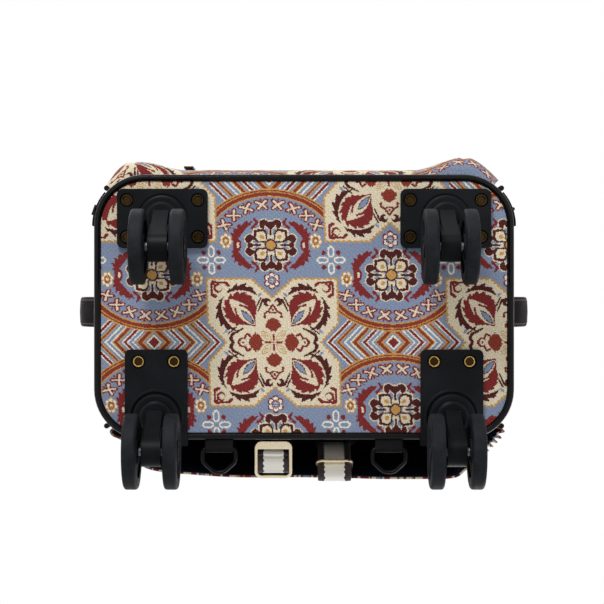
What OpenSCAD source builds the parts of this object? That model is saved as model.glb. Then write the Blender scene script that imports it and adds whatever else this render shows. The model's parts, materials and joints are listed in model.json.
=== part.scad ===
/* [Body] */
// Width of the bottom panel over its piping
panel_w = 309; // [280:1:340]
// Depth of the bottom panel over its piping
panel_d = 195; // [175:1:220]
// Plan radius of the body's upright corners
corner_r = 37; // [30:1:45]
// Height of the fabric body above the bottom panel
body_h = 412; // [360:1:480]
// Radius of the edge where the walls roll into the top
top_r = 20; // [16:1:26]
// Thickness of the padded fabric wall
wall_t = 3; // [2:0.5:5]
// Thickness of the covered bottom panel
panel_t = 3; // [2:0.5:4]
// Thickness of the plastic tray inside the bottom
tray_t = 3; // [2:0.5:5]
// Bead diameter of the piping round the bottom
piping_d = 5; // [4:0.5:7]
// Bead diameter of the piping up the body's edges
edge_piping_d = 4; // [3:0.5:5]

/* [Front pocket] */
// Reach of the pocket in front of the body
pocket_depth = 16; // [10:1:24]
// Width of the pocket where it meets the body
pocket_w = 283; // [240:1:286]
// Height of the pocket
pocket_h = 250; // [200:1:280]
// Height of the pocket's lower edge above the bottom panel
pocket_rise = 12; // [8:1:40]
// Sag of the pocket's lower middle behind its full corners
pocket_sag = 11; // [4:1:12]

/* [Back] */
// Reach of the cover sleeve behind the body
cover_depth = 32; // [29:1:36]
// Width of the cover sleeve
cover_w = 283; // [260:1:288]
// Thickness of the lined cover fabric
cover_t = 2.5; // [1.5:0.5:3]
// Gap between the bottom panel and the sleeve's open hem
hem_rise = 40; // [38:1:50]
// Depth of the folds where the hem is gathered
gather = 2.2; // [1:0.2:2.6]
// Thickness of the back pad
pad_t = 3.6; // [2.5:0.1:4.5]
// Thickness of a shoulder strap
strap_t = 10; // [6:1:12]

/* [Webbing and rings] */
// Width of the striped webbing
web_w = 25; // [20:1:25]
// Thickness of the webbing
web_t = 1.8; // [1.2:0.2:2.2]
// Distance from the middle to each webbing
web_x = 23; // [18:1:26]
// Width of a strap buckle
buckle_w = 28.7; // [28:0.1:30]
// Length of a strap buckle
buckle_l = 28; // [24:1:30]
// Distance from the middle to each D ring
ring_x = 62.5; // [58:0.5:66]
// Outer width of a D ring
ring_w = 27; // [25:0.5:30]
// Reach of a D ring from its bar
ring_l = 18.5; // [16:0.5:19]
// Rod diameter of a D ring
ring_d = 2.8; // [2:0.2:3]

/* [Casters] */
// Wheel diameter
wheel_d = 54; // [46:1:55]
// Width of one wheel
wheel_w = 10; // [9:0.5:12]
// Gap between the two wheels of a caster
wheel_gap = 18.5; // [17:0.5:20]
// Distance from the swivel axis to the axle
trail = 22; // [16:1:23]
// Height of a caster from the floor to the bottom panel
caster_h = 66; // [66:1:74]
// Thickness of a caster plate
plate_t = 3.5; // [3:0.5:5]
// Distance from the panel's side to the front swivels
front_inset_x = 50.5; // [46.5:0.5:58.5]
// Distance from the panel's side to the rear swivels
rear_inset_x = 46; // [45.5:0.5:54.5]
// Distance from the panel's front edge to the front swivels
front_inset_y = 32.5; // [31.5:0.5:42.5]
// Distance from the panel's back edge to the rear swivels
rear_inset_y = 16.8; // [16.5:0.1:19.5]
// Width of a front plate
front_plate_w = 66.5; // [60:0.5:70]
// Depth of a front plate
front_plate_d = 43.5; // [42:0.1:46]
// Width of a rear plate
rear_plate_w = 46; // [44:0.5:50]
// Radius of the swivel housing
housing_r = 17.2; // [16:0.1:17.5]
// Radius of the fork's swivel disc
disc_r = 12.2; // [11:0.1:13]
// Kingpin diameter
kingpin_d = 8; // [6:0.5:9]
// Axle diameter inside the wheels
axle_d = 5; // [4:0.5:6]
// Thickness of the fork between the wheels
fork_w = 13.8; // [12:0.1:14.5]
// Rivet head diameter
rivet_d = 8.4; // [7:0.1:9]

/* [Trolley handle] */
// Distance from the middle to each tube
tube_x = 75; // [60:1:85]
// Distance from the body's back wall to the tubes' axes
tube_inset = 37; // [36:1:44]
// Width of the outer tube
tube_w = 20; // [18:1:24]
// Depth of the outer tube
tube_d = 14; // [13:1:18]
// Wall of each tube
tube_wall = 1; // [0.8:0.1:1.2]
// Gap between one tube and the next
tube_gap = 0.3; // [0.2:0.05:0.4]
// Length of the hand bar between the tubes' outer faces
grip_w = 180; // [176:1:190]
// Height of the hand bar
grip_bar_h = 18; // [16:1:22]
// Room for fingers under the hand bar
grip_reach = 22; // [18:1:30]
// Depth of the hand bar
grip_d = 22; // [20:1:26]
// Length of the release button
button_l = 30; // [24:1:40]
// Travel of the release button
button_travel = 4; // [2:0.5:5]
// Diameter of the push rods inside the tubes
rod_d = 3; // [2.5:0.5:4]

/* [Handles and zips] */
// Width of the leatherette handles
handle_w = 25; // [20:1:30]
// Thickness of the leatherette handles
handle_t = 5; // [3:0.5:7]
// Reach of a side handle from the body
side_handle_rise = 35; // [25:1:42]
// Span of a side handle
side_handle_l = 130; // [110:1:150]
// Reach of the top handle
top_handle_rise = 32; // [25:1:45]
// Span of the top handle
top_handle_l = 120; // [100:1:140]
// Width of the zip tapes
tape_w = 24; // [18:1:26]
// Thickness of the zip tapes with their closed teeth
tape_t = 1.2; // [0.8:0.1:2]

/* [Hidden] */
$fn = 48;
// Running clearance, radial, between a pin and its bore
run = 0.06;
// Seat clearance between pieces that don't move on each other
seat = 0.02;
// Rest gap of soft pieces beside what carries them
rest = 0.3;

panel_z = caster_h;
plate_z = panel_z - plate_t;
rim_z = panel_z + panel_t;
tray_z = rim_z + tray_t;
top_z = panel_z + body_h;
half_w = panel_w / 2 + 0.5;
half_d = panel_d / 2 - 0.5;
rim_inset = 1.5;
wheel_r = wheel_d / 2;
kingpin_r = kingpin_d / 2;
axle_r = axle_d / 2;
rivet_r = rivet_d / 2;

// Route of each webbing loop down from its strap, as [y behind the panel's edge, z above its plane]
left_route = [[8.5, 69.8], [8.8, 56], [9.6, 44], [11, 36], [14, 32.4], [20, 31.4], [24.6, 32.8],
  [26.2, 37], [26, 50]];
right_route = [[8.5, 69.8], [9.4, 58], [13, 46], [18.4, 36], [25, 28.6], [29.6, 26.4], [31.4, 29],
  [30, 31.4], [27, 32.4], [22.5, 37.6]];

// Zip slider: its body, the bridge that stands on it and the pull that hangs from the bridge
slider_l = 13;
slider_w = 9;
slider_t = 2.4;
bridge_h = 3.1;
bridge_x = slider_t + 1.3;
pull_l = 30;

// Layout of the casters
front_caster_x = panel_w / 2 - front_inset_x;
front_caster_y = panel_d / 2 - front_inset_y;
rear_caster_x = panel_w / 2 - rear_inset_x;
rear_caster_y = panel_d / 2 - rear_inset_y;
back_reach = max(rear_caster_y + trail + wheel_r, half_d + cover_depth,
  panel_d / 2 + max([for (p = right_route) p[0]]) + web_t / 2);
front_reach = half_d + pocket_depth + 2 * rest + tape_t + slider_t + bridge_h;
shift_y = (front_reach - back_reach) / 2;
CASTERS = [
  ["front_left", -front_caster_x, -front_caster_y],
  ["front_right", front_caster_x, -front_caster_y],
  ["rear_left", -rear_caster_x, rear_caster_y],
  ["rear_right", rear_caster_x, rear_caster_y]];
rivet_x = front_plate_w / 2 - 7.25;
rivet_y = front_plate_d / 2 - 8.25;
front_rivets = [for (x = [-rivet_x, rivet_x], y = [-rivet_y, rivet_y]) [x, y]];
rivet_shank = 2.4;
rivet_sink = 0.2;
rivet_head = 1.7;
rear_plate_front = 49.5;
rear_plate_back = rear_inset_y + 4.5;
rear_rivets = [for (s = [-1, 1]) [s * (rear_plate_w / 2 - 10), 8.8 - rear_plate_front]];
flange_h = 10;
flange_cut = 4;
housing_h = 3;
ring_r = housing_r + 2.2;
disc_lap = 1.2;
disc_t = 5.2;
disc_z = plate_z - housing_h + disc_lap - disc_t;
kingpin_reach = 8.7;
boss_r = 10.8;
recess_r = rivet_r + 1.05;

// Layout of the handle
tube_y = half_d - tube_inset;
mid_w = tube_w - 2 * (tube_wall + tube_gap);
mid_d = tube_d - 2 * (tube_wall + tube_gap);
inner_w = mid_w - 2 * (tube_wall + tube_gap);
inner_d = mid_d - 2 * (tube_wall + tube_gap);
tube_r = 3.5;
bezel_t = 6;
bezel_z = top_z + bezel_t;
bezel_w = 2 * tube_x + tube_w + 22;
bezel_d = tube_d + 18;
bezel_r = 8;
grip_z = bezel_z + 2;
grip_top = grip_z + grip_reach + grip_bar_h;
middle_low = tray_z + 8;
inner_low = middle_low + 8;
button_h = 7;
button_w = 11;
button_proud = 3;
button_low = grip_top + button_proud - button_h;
push_bar_t = 2.5;
push_bar_d = 6;
push_bar_l = 2 * tube_x + 6;
spring_l = 4;
pocket_hole_h = grip_top - button_low + push_bar_t + button_travel + spring_l;
latch_h = 14;
rod_lap = 5;

// Straight stretch of the walls, where the zip runs
wall_low = rim_z + 8;
wall_high = top_z - top_r;
zip_c = 25;
slider_tilt = asin((corner_r - zip_c) / corner_r);
slider_z = wall_low + 50;
pocket_low = rim_z + pocket_rise;
pocket_high = pocket_low + pocket_h;
pocket_flare = 6;
pocket_peak_x = pocket_w / 2 + pocket_flare - 22.5;
pocket_edge_out = 3.9;
pocket_dart = 1.4;
pocket_zip_z = pocket_high - 45;
pocket_zip_w = 220;
hem_z = panel_z + hem_rise;
cover_top = top_z - 52;
pad_y = half_d + 0.15;
strap_y = pad_y + pad_t + rest;
strap_low = hem_z + 30;
strap_top = cover_top - 30;
strap_head_x = 38;
strap_head_r = 28;
gather_run = 60;
ring_y = panel_d / 2 + 7;
ring_z = panel_z + 1;
side_handle_y = 4.5;
side_handle_z = 262;
top_handle_y = -14;

// Height, inset and roll angle of the body's outer rings, from the rim to the flat of the top
body_levels = concat(
  [[rim_z, rim_inset, 0], [wall_low, 0, 0]],
  [for (k = [1:4]) [wall_low + (wall_high - wall_low) * k / 5, 0, 0]],
  [for (a = [0:15:90]) [wall_high + top_r * sin(a), top_r * (1 - cos(a)), a]]);

// Shared shapes

// Rounded rectangle, centred, with true arcs
module rounded_rect(w, h, r) {
  square([w - 2 * r, h], center = true);
  square([w, h - 2 * r], center = true);
  for (x = [-1, 1], y = [-1, 1])
    translate([x * (w / 2 - r), y * (h / 2 - r)]) circle(r);
}

// Solid through a list of like polygons; a strip section is closed by quads across its width
module loft(sections, ring = false, strip = false) {
  n = len(sections[0]);
  m = len(sections);
  last = (m - 1) * n;
  sides = [for (i = [0:m - (ring ? 1 : 2)], j = [0:n - 1], k = [0, 1])
    let (a = i * n, b = ((i + 1) % m) * n, e = (j + 1) % n)
    k == 0 ? [a + j, b + e, a + e] : [a + j, b + j, b + e]];
  fan = [[for (j = [0:n - 1]) j], [for (j = [n - 1:-1:0]) last + j]];
  quads = [for (j = [0:n / 2 - 2], k = [0, 1])
    let (a = j, b = j + 1, c = n - 2 - j, d = n - 1 - j)
    k == 0 ? [a, b, c, d] : [last + d, last + c, last + b, last + a]];
  polyhedron([for (s = sections) each s], concat(sides, ring ? [] : strip ? quads : fan));
}

// Bead of round section along a path, with its side axis given
module bead(path, r, side, ring = false, sides = 8) {
  m = len(path);
  loft([for (i = [0:m - 1])
    let (
      before = path[ring ? (i + m - 1) % m : max(i - 1, 0)],
      after = path[ring ? (i + 1) % m : min(i + 1, m - 1)],
      along = (after - before) / norm(after - before),
      out = cross(along, side) / norm(cross(along, side)),
      up = cross(out, along))
    [for (k = [0:sides - 1]) path[i] + r * (cos(k * 360 / sides) * out + sin(k * 360 / sides) * up)]],
    ring = ring);
}

// Rounded rectangle of points at one height, anticlockwise
function plan_ring(hx, hy, r, z, steps) = [for (q = [0:3], i = [0:steps])
  let (a = 90 * q + 90 * i / steps,
    cx = (q == 0 || q == 3 ? 1 : -1) * (hx - r),
    cy = (q < 2 ? 1 : -1) * (hy - r))
  [cx + r * cos(a), cy + r * sin(a), z]];

// Plan of the body at one inset
function ring_r(inset) = max(corner_r - inset, 14);
function body_ring(z, inset) = plan_ring(half_w - inset, half_d - inset, ring_r(inset), z, 7);

// How far the wall falls back from the flat, c in from the corner's end of the next wall
function fall_back(c, r) = c < r ? r - sqrt(r * r - (r - c) * (r - c)) : 0;

// Distance of the back or front wall from the middle at x
function wall_y(x) = half_d - fall_back(half_w - abs(x), corner_r);

// Share from 0 at low to 1 at high, with soft ends
function ease(v, low, high) = let (t = min(1, max(0, (v - low) / (high - low)))) t * t * (3 - 2 * t);

// Smooth curve through points, in n steps from each to the next
function curve(p, n) = let (m = len(p) - 1) concat([for (i = [0:m - 1], j = [0:n - 1])
  let (t = j / n, a = p[max(i - 1, 0)], b = p[i], c = p[i + 1], d = p[min(i + 2, m)])
  b + 0.5 * t * (c - a + t * (2 * a - 5 * b + 4 * c - d + t * (3 * (b - c) + d - a)))], [p[m]]);

// Band that rises from a flat, with a sewn foot at each end
module arch_handle(span, rise) {
  r = (span * span / 4 + rise * rise) / (2 * rise);
  foot = 18;
  foot_t = 2;
  linear_extrude(handle_w, center = true) {
    intersection() {
      translate([0, rise - r]) difference() {
        circle(r, $fn = 96);
        circle(r - handle_t, $fn = 96);
      }
      translate([-span, 0]) square([2 * span, 2 * rise]);
    }
    for (s = [-1, 1]) translate([s * (span / 2 + foot / 2 - 5) - foot / 2, 0]) square([foot, foot_t]);
  }
}

// Bottom of the bag

module base_panel() {
  color("#7d2b2e") translate([0, shift_y, panel_z]) difference() {
    linear_extrude(panel_t)
      rounded_rect(panel_w - 2 * (piping_d + rest), panel_d - 2 * (piping_d + rest),
        corner_r - piping_d - rest);
    rivet_places() translate([0, 0, -1]) cylinder(r = rivet_shank + seat, h = panel_t + 2);
  }
}

module base_piping() {
  r = piping_d / 2;
  color("#141414") translate([0, shift_y, 0])
    bead(plan_ring(panel_w / 2 - r, panel_d / 2 - r, corner_r - r, rim_z - r, 9), r, [0, 0, 1],
      ring = true);
}

module base_tray() {
  w = 2 * (half_w - rim_inset - wall_t - rest);
  d = 2 * (half_d - rim_inset - wall_t - rest);
  color("#202124") translate([0, shift_y, rim_z]) difference() {
    linear_extrude(tray_t) rounded_rect(w, d, corner_r - rim_inset - wall_t - rest);
    rivet_places() translate([0, 0, -1]) cylinder(r = rivet_shank + seat, h = tray_t + 2);
  }
}

module rivet_places() {
  for (c = CASTERS, p = c[2] < 0 ? front_rivets : rear_rivets)
    translate([c[1] + p[0], c[2] + p[1], 0]) children();
}

module caster_rivets() {
  head_z = plate_z + rivet_sink;
  back_z = head_z + rivet_head;
  color("#c79a4a") translate([0, shift_y, 0]) rivet_places() rotate_extrude() polygon([
    [0, head_z + 1.1], [2.6, head_z + 1.1], [3.1, head_z + 0.3], [3.4, head_z], [rivet_r - 0.4, head_z],
    [rivet_r, head_z + 0.4], [rivet_r, back_z], [rivet_shank, back_z], [rivet_shank, tray_z],
    [rivet_r, tray_z], [rivet_r, tray_z + 0.8], [1.3, tray_z + 1.2], [0, tray_z + 1.2]]);
}

// Casters, each drawn about its swivel axis with the floor at zero

module at_caster(c) {
  translate([c[1], c[2] + shift_y, 0]) children();
}

module caster_plate(c) {
  rear = c[2] > 0;
  color("#26282b") at_caster(c) difference() {
    union() {
      if (rear) rear_plate_slab(c); else
        translate([0, 0, plate_z]) linear_extrude(plate_t)
          rounded_rect(front_plate_w, front_plate_d, 4.5);
      translate([0, 0, plate_z - housing_h]) rotate_extrude() polygon([
        [0, 0], [housing_r - 1.8, 0], [housing_r - 0.6, 0.4], [housing_r, 1.5],
        [housing_r, housing_h + 1.3], [0, housing_h + 1.3]]);
      if (rear) translate([0, 0, plate_z]) rotate_extrude() polygon([
        [ring_r - 1.5, 1], [ring_r - 1.5, -0.7], [ring_r - 0.6, -1.4], [ring_r + 0.5, -1.4],
        [ring_r + 1.4, -0.5], [ring_r + 1.4, 1]]);
    }
    translate([0, 0, plate_z - 1]) difference() {
      cylinder(r = ring_r - 1.1, h = 2);
      translate([0, 0, -1]) cylinder(r = housing_r, h = 4);
    }
    translate([0, 0, plate_z - housing_h - 1]) cylinder(r = disc_r + rest, h = disc_lap + rest + 1);
    translate([0, 0, disc_z]) cylinder(r = kingpin_r + seat, h = panel_z);
    translate([0, 0, panel_z - 1.7]) cylinder(r = kingpin_r + 3 + seat, h = 5);
    for (p = rear ? rear_rivets : front_rivets) translate([p[0], p[1], 0]) {
      translate([0, 0, plate_z - 1]) cylinder(r = rivet_shank + seat, h = plate_t + 2);
      translate([0, 0, plate_z - 1]) cylinder(r = recess_r, h = 1 + rivet_sink + rivet_head);
    }
  }
}

// The rear plate runs over the piping and up the back edge of the body
module rear_plate_slab(c) {
  edge_y = rear_inset_y + rest;
  length = rear_plate_front + rear_plate_back;
  difference() {
    translate([0, 0, plate_z]) linear_extrude(plate_t + flange_h) {
      translate([0, length / 2 - rear_plate_front]) rounded_rect(rear_plate_w, length, 4);
      translate([-rear_plate_w / 2, 10 - rear_plate_front]) square([rear_plate_w, length - 10]);
    }
    translate([-rear_plate_w, -rear_plate_front - 1, panel_z])
      cube([2 * rear_plate_w, rear_plate_front + edge_y + 1, flange_h + 1]);
    translate([-c[1], -c[2], rim_z - piping_d - rest]) linear_extrude(flange_h + piping_d)
      difference() {
        rounded_rect(panel_w + 2 * rest, panel_d + 2 * rest, corner_r + rest);
        rounded_rect(panel_w - 2 * (piping_d + rest), panel_d - 2 * (piping_d + rest),
          corner_r - piping_d - rest);
      }
    for (s = [-1, 1]) translate([s * rear_plate_w / 2, 0, panel_z + flange_h])
      rotate([-90, 0, 0]) cylinder(r = flange_cut, h = 2 * rear_plate_back, $fn = 4);
  }
}

module kingpins() {
  color("#8d9094") for (c = CASTERS) at_caster(c) {
    translate([0, 0, plate_z - housing_h - kingpin_reach])
      cylinder(r = kingpin_r, h = housing_h + kingpin_reach + plate_t);
    translate([0, 0, panel_z - 1.7 + seat]) cylinder(r = kingpin_r + 3, h = 1.7 - seat);
  }
}

// Tangent point on a circle from an outer point, on the side given by s
function tangent_point(p, c, r, s) = let (v = c - p, d = norm(v),
  a = atan2(v[1], v[0]) + s * asin(r / d), l = sqrt(d * d - r * r))
  p + l * [cos(a), sin(a)];

module caster_fork(c) {
  hub = [trail, wheel_r];
  front_foot = [-5.6, disc_z + 1];
  neck_edge = [[-5.6, disc_z - 4], [-4.2, disc_z - 6.2]];
  back_foot = [10.6, disc_z + 1];
  step = [trail - boss_r - 5.8, 37.5];
  front_tangent = tangent_point(neck_edge[1], hub, boss_r, -1);
  step_tangent = tangent_point(step, hub, boss_r, -1);
  back_tangent = tangent_point(back_foot, hub, boss_r, 1);
  color("#26282b") at_caster(c) difference() {
    union() {
      translate([0, 0, disc_z]) rotate_extrude() polygon([
        [0, 0], [disc_r - 2, 0], [disc_r, 1.6], [disc_r, disc_t], [0, disc_t]]);
      fork_side(fork_w - 2.6)
        polygon([front_foot, neck_edge[0], neck_edge[1], front_tangent, hub, back_tangent, back_foot]);
      fork_side(fork_w) {
        translate(hub) circle(boss_r);
        polygon([[step[0], 46], step, step_tangent, hub, back_tangent, back_foot]);
      }
    }
    translate([0, 0, plate_z - housing_h - kingpin_reach - rest])
      cylinder(r = kingpin_r + run, h = 30);
    translate([-fork_w, trail, wheel_r]) rotate([0, 90, 0])
      cylinder(r = axle_r + 0.7 + seat, h = 2 * fork_w);
  }
}

// Side profile given as [y, z], extruded across the wheels' gap
module fork_side(w) {
  rotate([90, 0, 90]) linear_extrude(w, center = true) children();
}

module caster_axle(c) {
  half = wheel_gap / 2 + wheel_w;
  neck = wheel_gap / 2 - 0.1;
  color("#a8abaf") at_caster(c) translate([0, trail, wheel_r]) rotate([0, 90, 0])
    rotate_extrude() polygon([
      [0, -half + 0.4], [3.4, -half + 0.4], [4, -half + 0.9], [4, -half + 1.5], [axle_r, -half + 1.5],
      [axle_r, -neck], [axle_r + 0.7, -neck], [axle_r + 0.7, neck], [axle_r, neck],
      [axle_r, half - 1.5], [4, half - 1.5], [4, half - 0.9], [3.4, half - 0.4], [0, half - 0.4]]);
}

// One moulded wheel: round tread edges, dished outer face, ribs in the dish
module wheel(c, side) {
  edge = 2.2;
  half = wheel_w / 2;
  bore = axle_r + run;
  color("#2a2c2f") at_caster(c)
    translate([side * (wheel_gap / 2 + half), trail, wheel_r]) rotate([0, side * 90, 0])
      difference() {
        rotate_extrude($fn = 72) difference() {
          union() {
            translate([bore, -half]) square([wheel_r - edge - bore, wheel_w]);
            translate([bore, edge - half]) square([wheel_r - bore, wheel_w - 2 * edge]);
            for (y = [-1, 1]) translate([wheel_r - edge, y * (half - edge)]) circle(edge);
          }
          translate([bore - 1, half - 1.7]) square([4.6 - bore + 1, 4]);
          polygon([[8, half + 1], [8, half - 2], [wheel_r - 9, half - 2], [wheel_r - 7, half],
            [wheel_r - 7, half + 1]]);
          polygon([[9, -half - 1], [9, 1.5 - half], [wheel_r - 8, 1.5 - half], [wheel_r - 8, -half - 1]]);
        }
      }
}

// Body

module body_shell() {
  inner = [for (i = [len(body_levels) - 1:-1:0]) let (l = body_levels[i])
    body_ring(l[0] - wall_t * sin(l[2]), l[1] + wall_t)];
  outer = [for (l = body_levels) body_ring(l[0], l[1])];
  color("#7d2b2e") translate([0, shift_y, 0]) difference() {
    loft(concat(inner, outer));
    translate([-tube_x - tube_w / 2 - 4, tube_y - tube_d / 2 - 2, top_z - 20])
      cube([2 * tube_x + tube_w + 8, tube_d + 4, 40]);
  }
}

// Point on the body beside a front or back edge: c in from the wall, d proud of it
function side_point(l, c, d, side, face) = let (r = ring_r(l[1]))
  [side * (half_w - l[1] - fall_back(c, r) + d), face * (half_d - l[1] - c), l[0]];

// The zip keeps to the front of the top, so it nears the edge as the wall rolls in
function zip_edge(c, inset) = c - 12 * inset / top_r;

// Inset of the wall at height z, and its distance from the middle at x, on a body grown by g
function roll_inset(z, g) = z <= wall_high ? 0
  : top_r + g - sqrt((top_r + g) * (top_r + g) - (z - wall_high) * (z - wall_high));
function skin_y(x, z, g) = let (i = roll_inset(z, g), r = max(corner_r + g - i, 14 + g))
  half_d + g - i - fall_back(half_w + g - i - abs(x), r);

module body_piping() {
  r = edge_piping_d / 2;
  g = r + rest;
  x = half_w - corner_r * (1 - cos(45)) + g * cos(45);
  z = wall_high + (top_r + g) * sin(45);
  bend = 30;
  outline = concat(
    [for (k = [0:3]) [x, rim_z + r + (z - bend - rim_z - r) * k / 4]],
    [for (a = [0:15:90]) [x - bend * (1 - cos(a)), z - bend * (1 - sin(a))]]);
  last = len(outline) - 1;
  color("#141414") translate([0, shift_y, 0]) for (face = [-1, 1]) bead(concat(
    [for (p = outline) [-p[0], face * skin_y(p[0], p[1], g), p[1]]],
    [for (i = [last:-1:0]) let (p = outline[i]) [p[0], face * skin_y(p[0], p[1], g), p[1]]]),
    r, [0, 1, 0]);
}

module back_pad() {
  w = 2 * (half_w - corner_r) - 16;
  low = panel_z + 26;
  h = cover_top - 20 - low;
  color("#101113") translate([0, shift_y + pad_y, low + h / 2]) rotate([-90, 0, 0])
    linear_extrude(pad_t) rounded_rect(w, h, 18);
}

// Zips

module zip_tape_band(sections) {
  color("#121214") translate([0, shift_y, 0]) loft(sections, strip = true);
}

module main_zip_tape() {
  levels = [for (l = body_levels) if (l[0] > rim_z) l];
  ends = [for (k = [0:4]) zip_c - tape_w / 2 + tape_w * k / 4];
  gap = 0.4;
  function band(l, side) = concat(
    [for (c = ends) side_point([l[0] + lift(l, gap), l[1]], zip_edge(c, l[1]), gap, side, -1)],
    [for (k = [4:-1:0]) side_point([l[0] + lift(l, gap + tape_t), l[1]],
      zip_edge(ends[k], l[1]), gap + tape_t, side, -1)]);
  function lift(l, g) = l[0] > wall_high ? g * (l[0] - wall_high) / top_r : 0;
  left = [for (l = levels) band(l, -1)];
  right = [for (i = [len(levels) - 1:-1:0]) band(levels[i], 1)];
  zip_tape_band(concat(left, right));
}

// Drawn with the tape at x = 0 and outward along +X
module zip_slider(along_y = false) {
  w = along_y ? slider_l : slider_w;
  l = along_y ? slider_w : slider_l;
  difference() {
    union() {
      translate([0, -w / 2, -l / 2]) cube([slider_t, w, l]);
      translate([0, -1.5, -4]) cube([slider_t + bridge_h, 3, 8]);
    }
    translate([bridge_x, -5, 0]) rotate([-90, 0, 0]) cylinder(r = 1 + run, h = 10);
  }
}

module zip_pull() {
  difference() {
    union() {
      translate([bridge_x, -4, 0]) rotate([-90, 0, 0]) cylinder(r = 1, h = 8);
      for (y = [-4, 2.2]) translate([bridge_x - 1, y, -9]) cube([2, 1.8, 9]);
      translate([bridge_x - 0.8, -4, -pull_l]) cube([1.6, 8, pull_l - 8]);
    }
    translate([bridge_x - 5, 0, -pull_l + 4]) rotate([0, 90, 0]) cylinder(r = 1.8, h = 10);
  }
}

module at_main_slider() {
  translate([0, shift_y, 0])
    translate([-half_w + fall_back(zip_c, corner_r) - 0.4 - tape_t - 0.35, zip_c - half_d, slider_z])
      rotate([0, 0, 180 + slider_tilt]) children();
}

module main_zip_slider() {
  color("#c79a4a") at_main_slider() zip_slider();
}

module main_zip_pull() {
  color("#c79a4a") at_main_slider() zip_pull();
}

// Pocket with boxed lower corners: its front sags between them and leans out towards the top
module front_pocket() {
  seam = pocket_w / 2;
  edge = seam + pocket_flare;
  edge_y = wall_y(seam) + pocket_edge_out;
  half = concat([for (k = [1:9]) (pocket_peak_x - 3) * sin(10 * k)], [pocket_peak_x],
    [for (k = [0:4]) pocket_peak_x + 3 + (edge - pocket_peak_x - 3) * k / 4]);
  xs = concat([for (i = [len(half) - 1:-1:0]) -half[i]], [0], half);
  // Height and share of the full reach, from the lower roll to the upper one
  levels = concat(
    [for (t = [0.97:-0.2425:0]) [pocket_low + 14 * (1 - t), sqrt(1 - t * t)]],
    [for (k = [1:5]) [pocket_low + 14 + (pocket_h - 34) * k / 6, 1]],
    [for (t = [0:0.2425:0.97]) [pocket_high - 20 * (1 - t), sqrt(1 - t * t)]]);
  function back(x) = wall_y(x * seam / edge) + rest + 0.2;
  function corner(x) = ease(abs(x), 0.6 * pocket_peak_x, pocket_peak_x);
  function low_share(z, run) = max(0, 1 - (z - pocket_low) / run);
  function full(x, z) = half_d + pocket_depth
    - (half_d + pocket_depth - edge_y) * pow(max(0, abs(x) - pocket_peak_x) / (edge - pocket_peak_x), 1.3)
    - pocket_sag * low_share(z, 0.6 * pocket_h) * (1 - corner(x))
    - (abs(x) == pocket_peak_x ? pocket_dart * low_share(z, 0.25 * pocket_h) : 0);
  function front(x, z, k) = let (b = back(x)) b + 0.4 + (full(x, z) - b - 0.4) * pow(k, 1 - 0.45 * corner(x));
  color("#a8896a") translate([0, shift_y, 0]) loft([for (l = levels) concat(
    [for (x = xs) [x * seam / edge, -back(x), l[0]]],
    [for (i = [len(xs) - 1:-1:0]) let (x = xs[i])
      [x * (seam + pocket_flare * l[1]) / edge, -front(x, l[0], l[1]), l[0]]])], strip = true);
}

module pocket_zip_tape() {
  color("#121214") translate([-pocket_zip_w / 2, shift_y - half_d - pocket_depth - rest - tape_t,
    pocket_zip_z - tape_w / 2]) cube([pocket_zip_w, tape_t, tape_w]);
}

module at_pocket_slider() {
  translate([-pocket_zip_w / 2 + 12, shift_y - half_d - pocket_depth - 2 * rest - tape_t, pocket_zip_z])
    rotate([0, 0, -90]) children();
}

module pocket_zip_slider() {
  color("#c79a4a") at_pocket_slider() zip_slider(along_y = true);
}

module pocket_zip_pull() {
  color("#c79a4a") at_pocket_slider() zip_pull();
}

// Leatherette handles

module side_handle(side) {
  color("#2e2427") translate([side * (half_w + rest), shift_y + side_handle_y, side_handle_z])
    rotate([90, side * 90, 0]) arch_handle(side_handle_l, side_handle_rise);
}

module side_handle_left() {
  side_handle(-1);
}

module side_handle_right() {
  side_handle(1);
}

module top_handle() {
  color("#2e2427") translate([0, shift_y + top_handle_y, top_z + rest]) rotate([90, 0, 0])
    arch_handle(top_handle_l, top_handle_rise);
}

// Trolley handle

module tube_pair(w, d, low, high, wall) {
  for (x = [-tube_x, tube_x]) translate([x, shift_y + tube_y, low]) linear_extrude(high - low)
    difference() {
      rounded_rect(w, d, tube_r);
      rounded_rect(w - 2 * wall, d - 2 * wall, tube_r - wall);
    }
}

module handle_bezel() {
  color("#1b1c1e") translate([0, shift_y + tube_y, top_z + 0.05]) difference() {
    linear_extrude(bezel_t) rounded_rect(bezel_w, bezel_d, bezel_r);
    for (x = [-tube_x, tube_x]) translate([x, 0, -1]) linear_extrude(bezel_t + 2)
      rounded_rect(tube_w + 2 * seat, tube_d + 2 * seat, tube_r + seat);
  }
}

module outer_tubes() {
  color("#9a9da1") tube_pair(tube_w, tube_d, tray_z, bezel_z, tube_wall);
}

module middle_tubes() {
  color("#a6a9ad") tube_pair(mid_w, mid_d, middle_low, bezel_z + 1, tube_wall);
}

module inner_tubes() {
  color("#b2b5b9") tube_pair(inner_w, inner_d, inner_low, grip_z + 8, tube_wall);
}

// Plugs in the inner tubes' lower ends, in which the push rods slide
module latch_blocks() {
  fit = tube_wall + seat;
  color("#1b1c1e") for (x = [-tube_x, tube_x]) translate([x, shift_y + tube_y, inner_low]) difference() {
    linear_extrude(latch_h) rounded_rect(inner_w - 2 * fit, inner_d - 2 * fit, tube_r - fit);
    translate([0, 0, latch_h - rod_lap - button_travel - 1])
      cylinder(r = rod_d / 2 + run, h = latch_h);
  }
}

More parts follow.
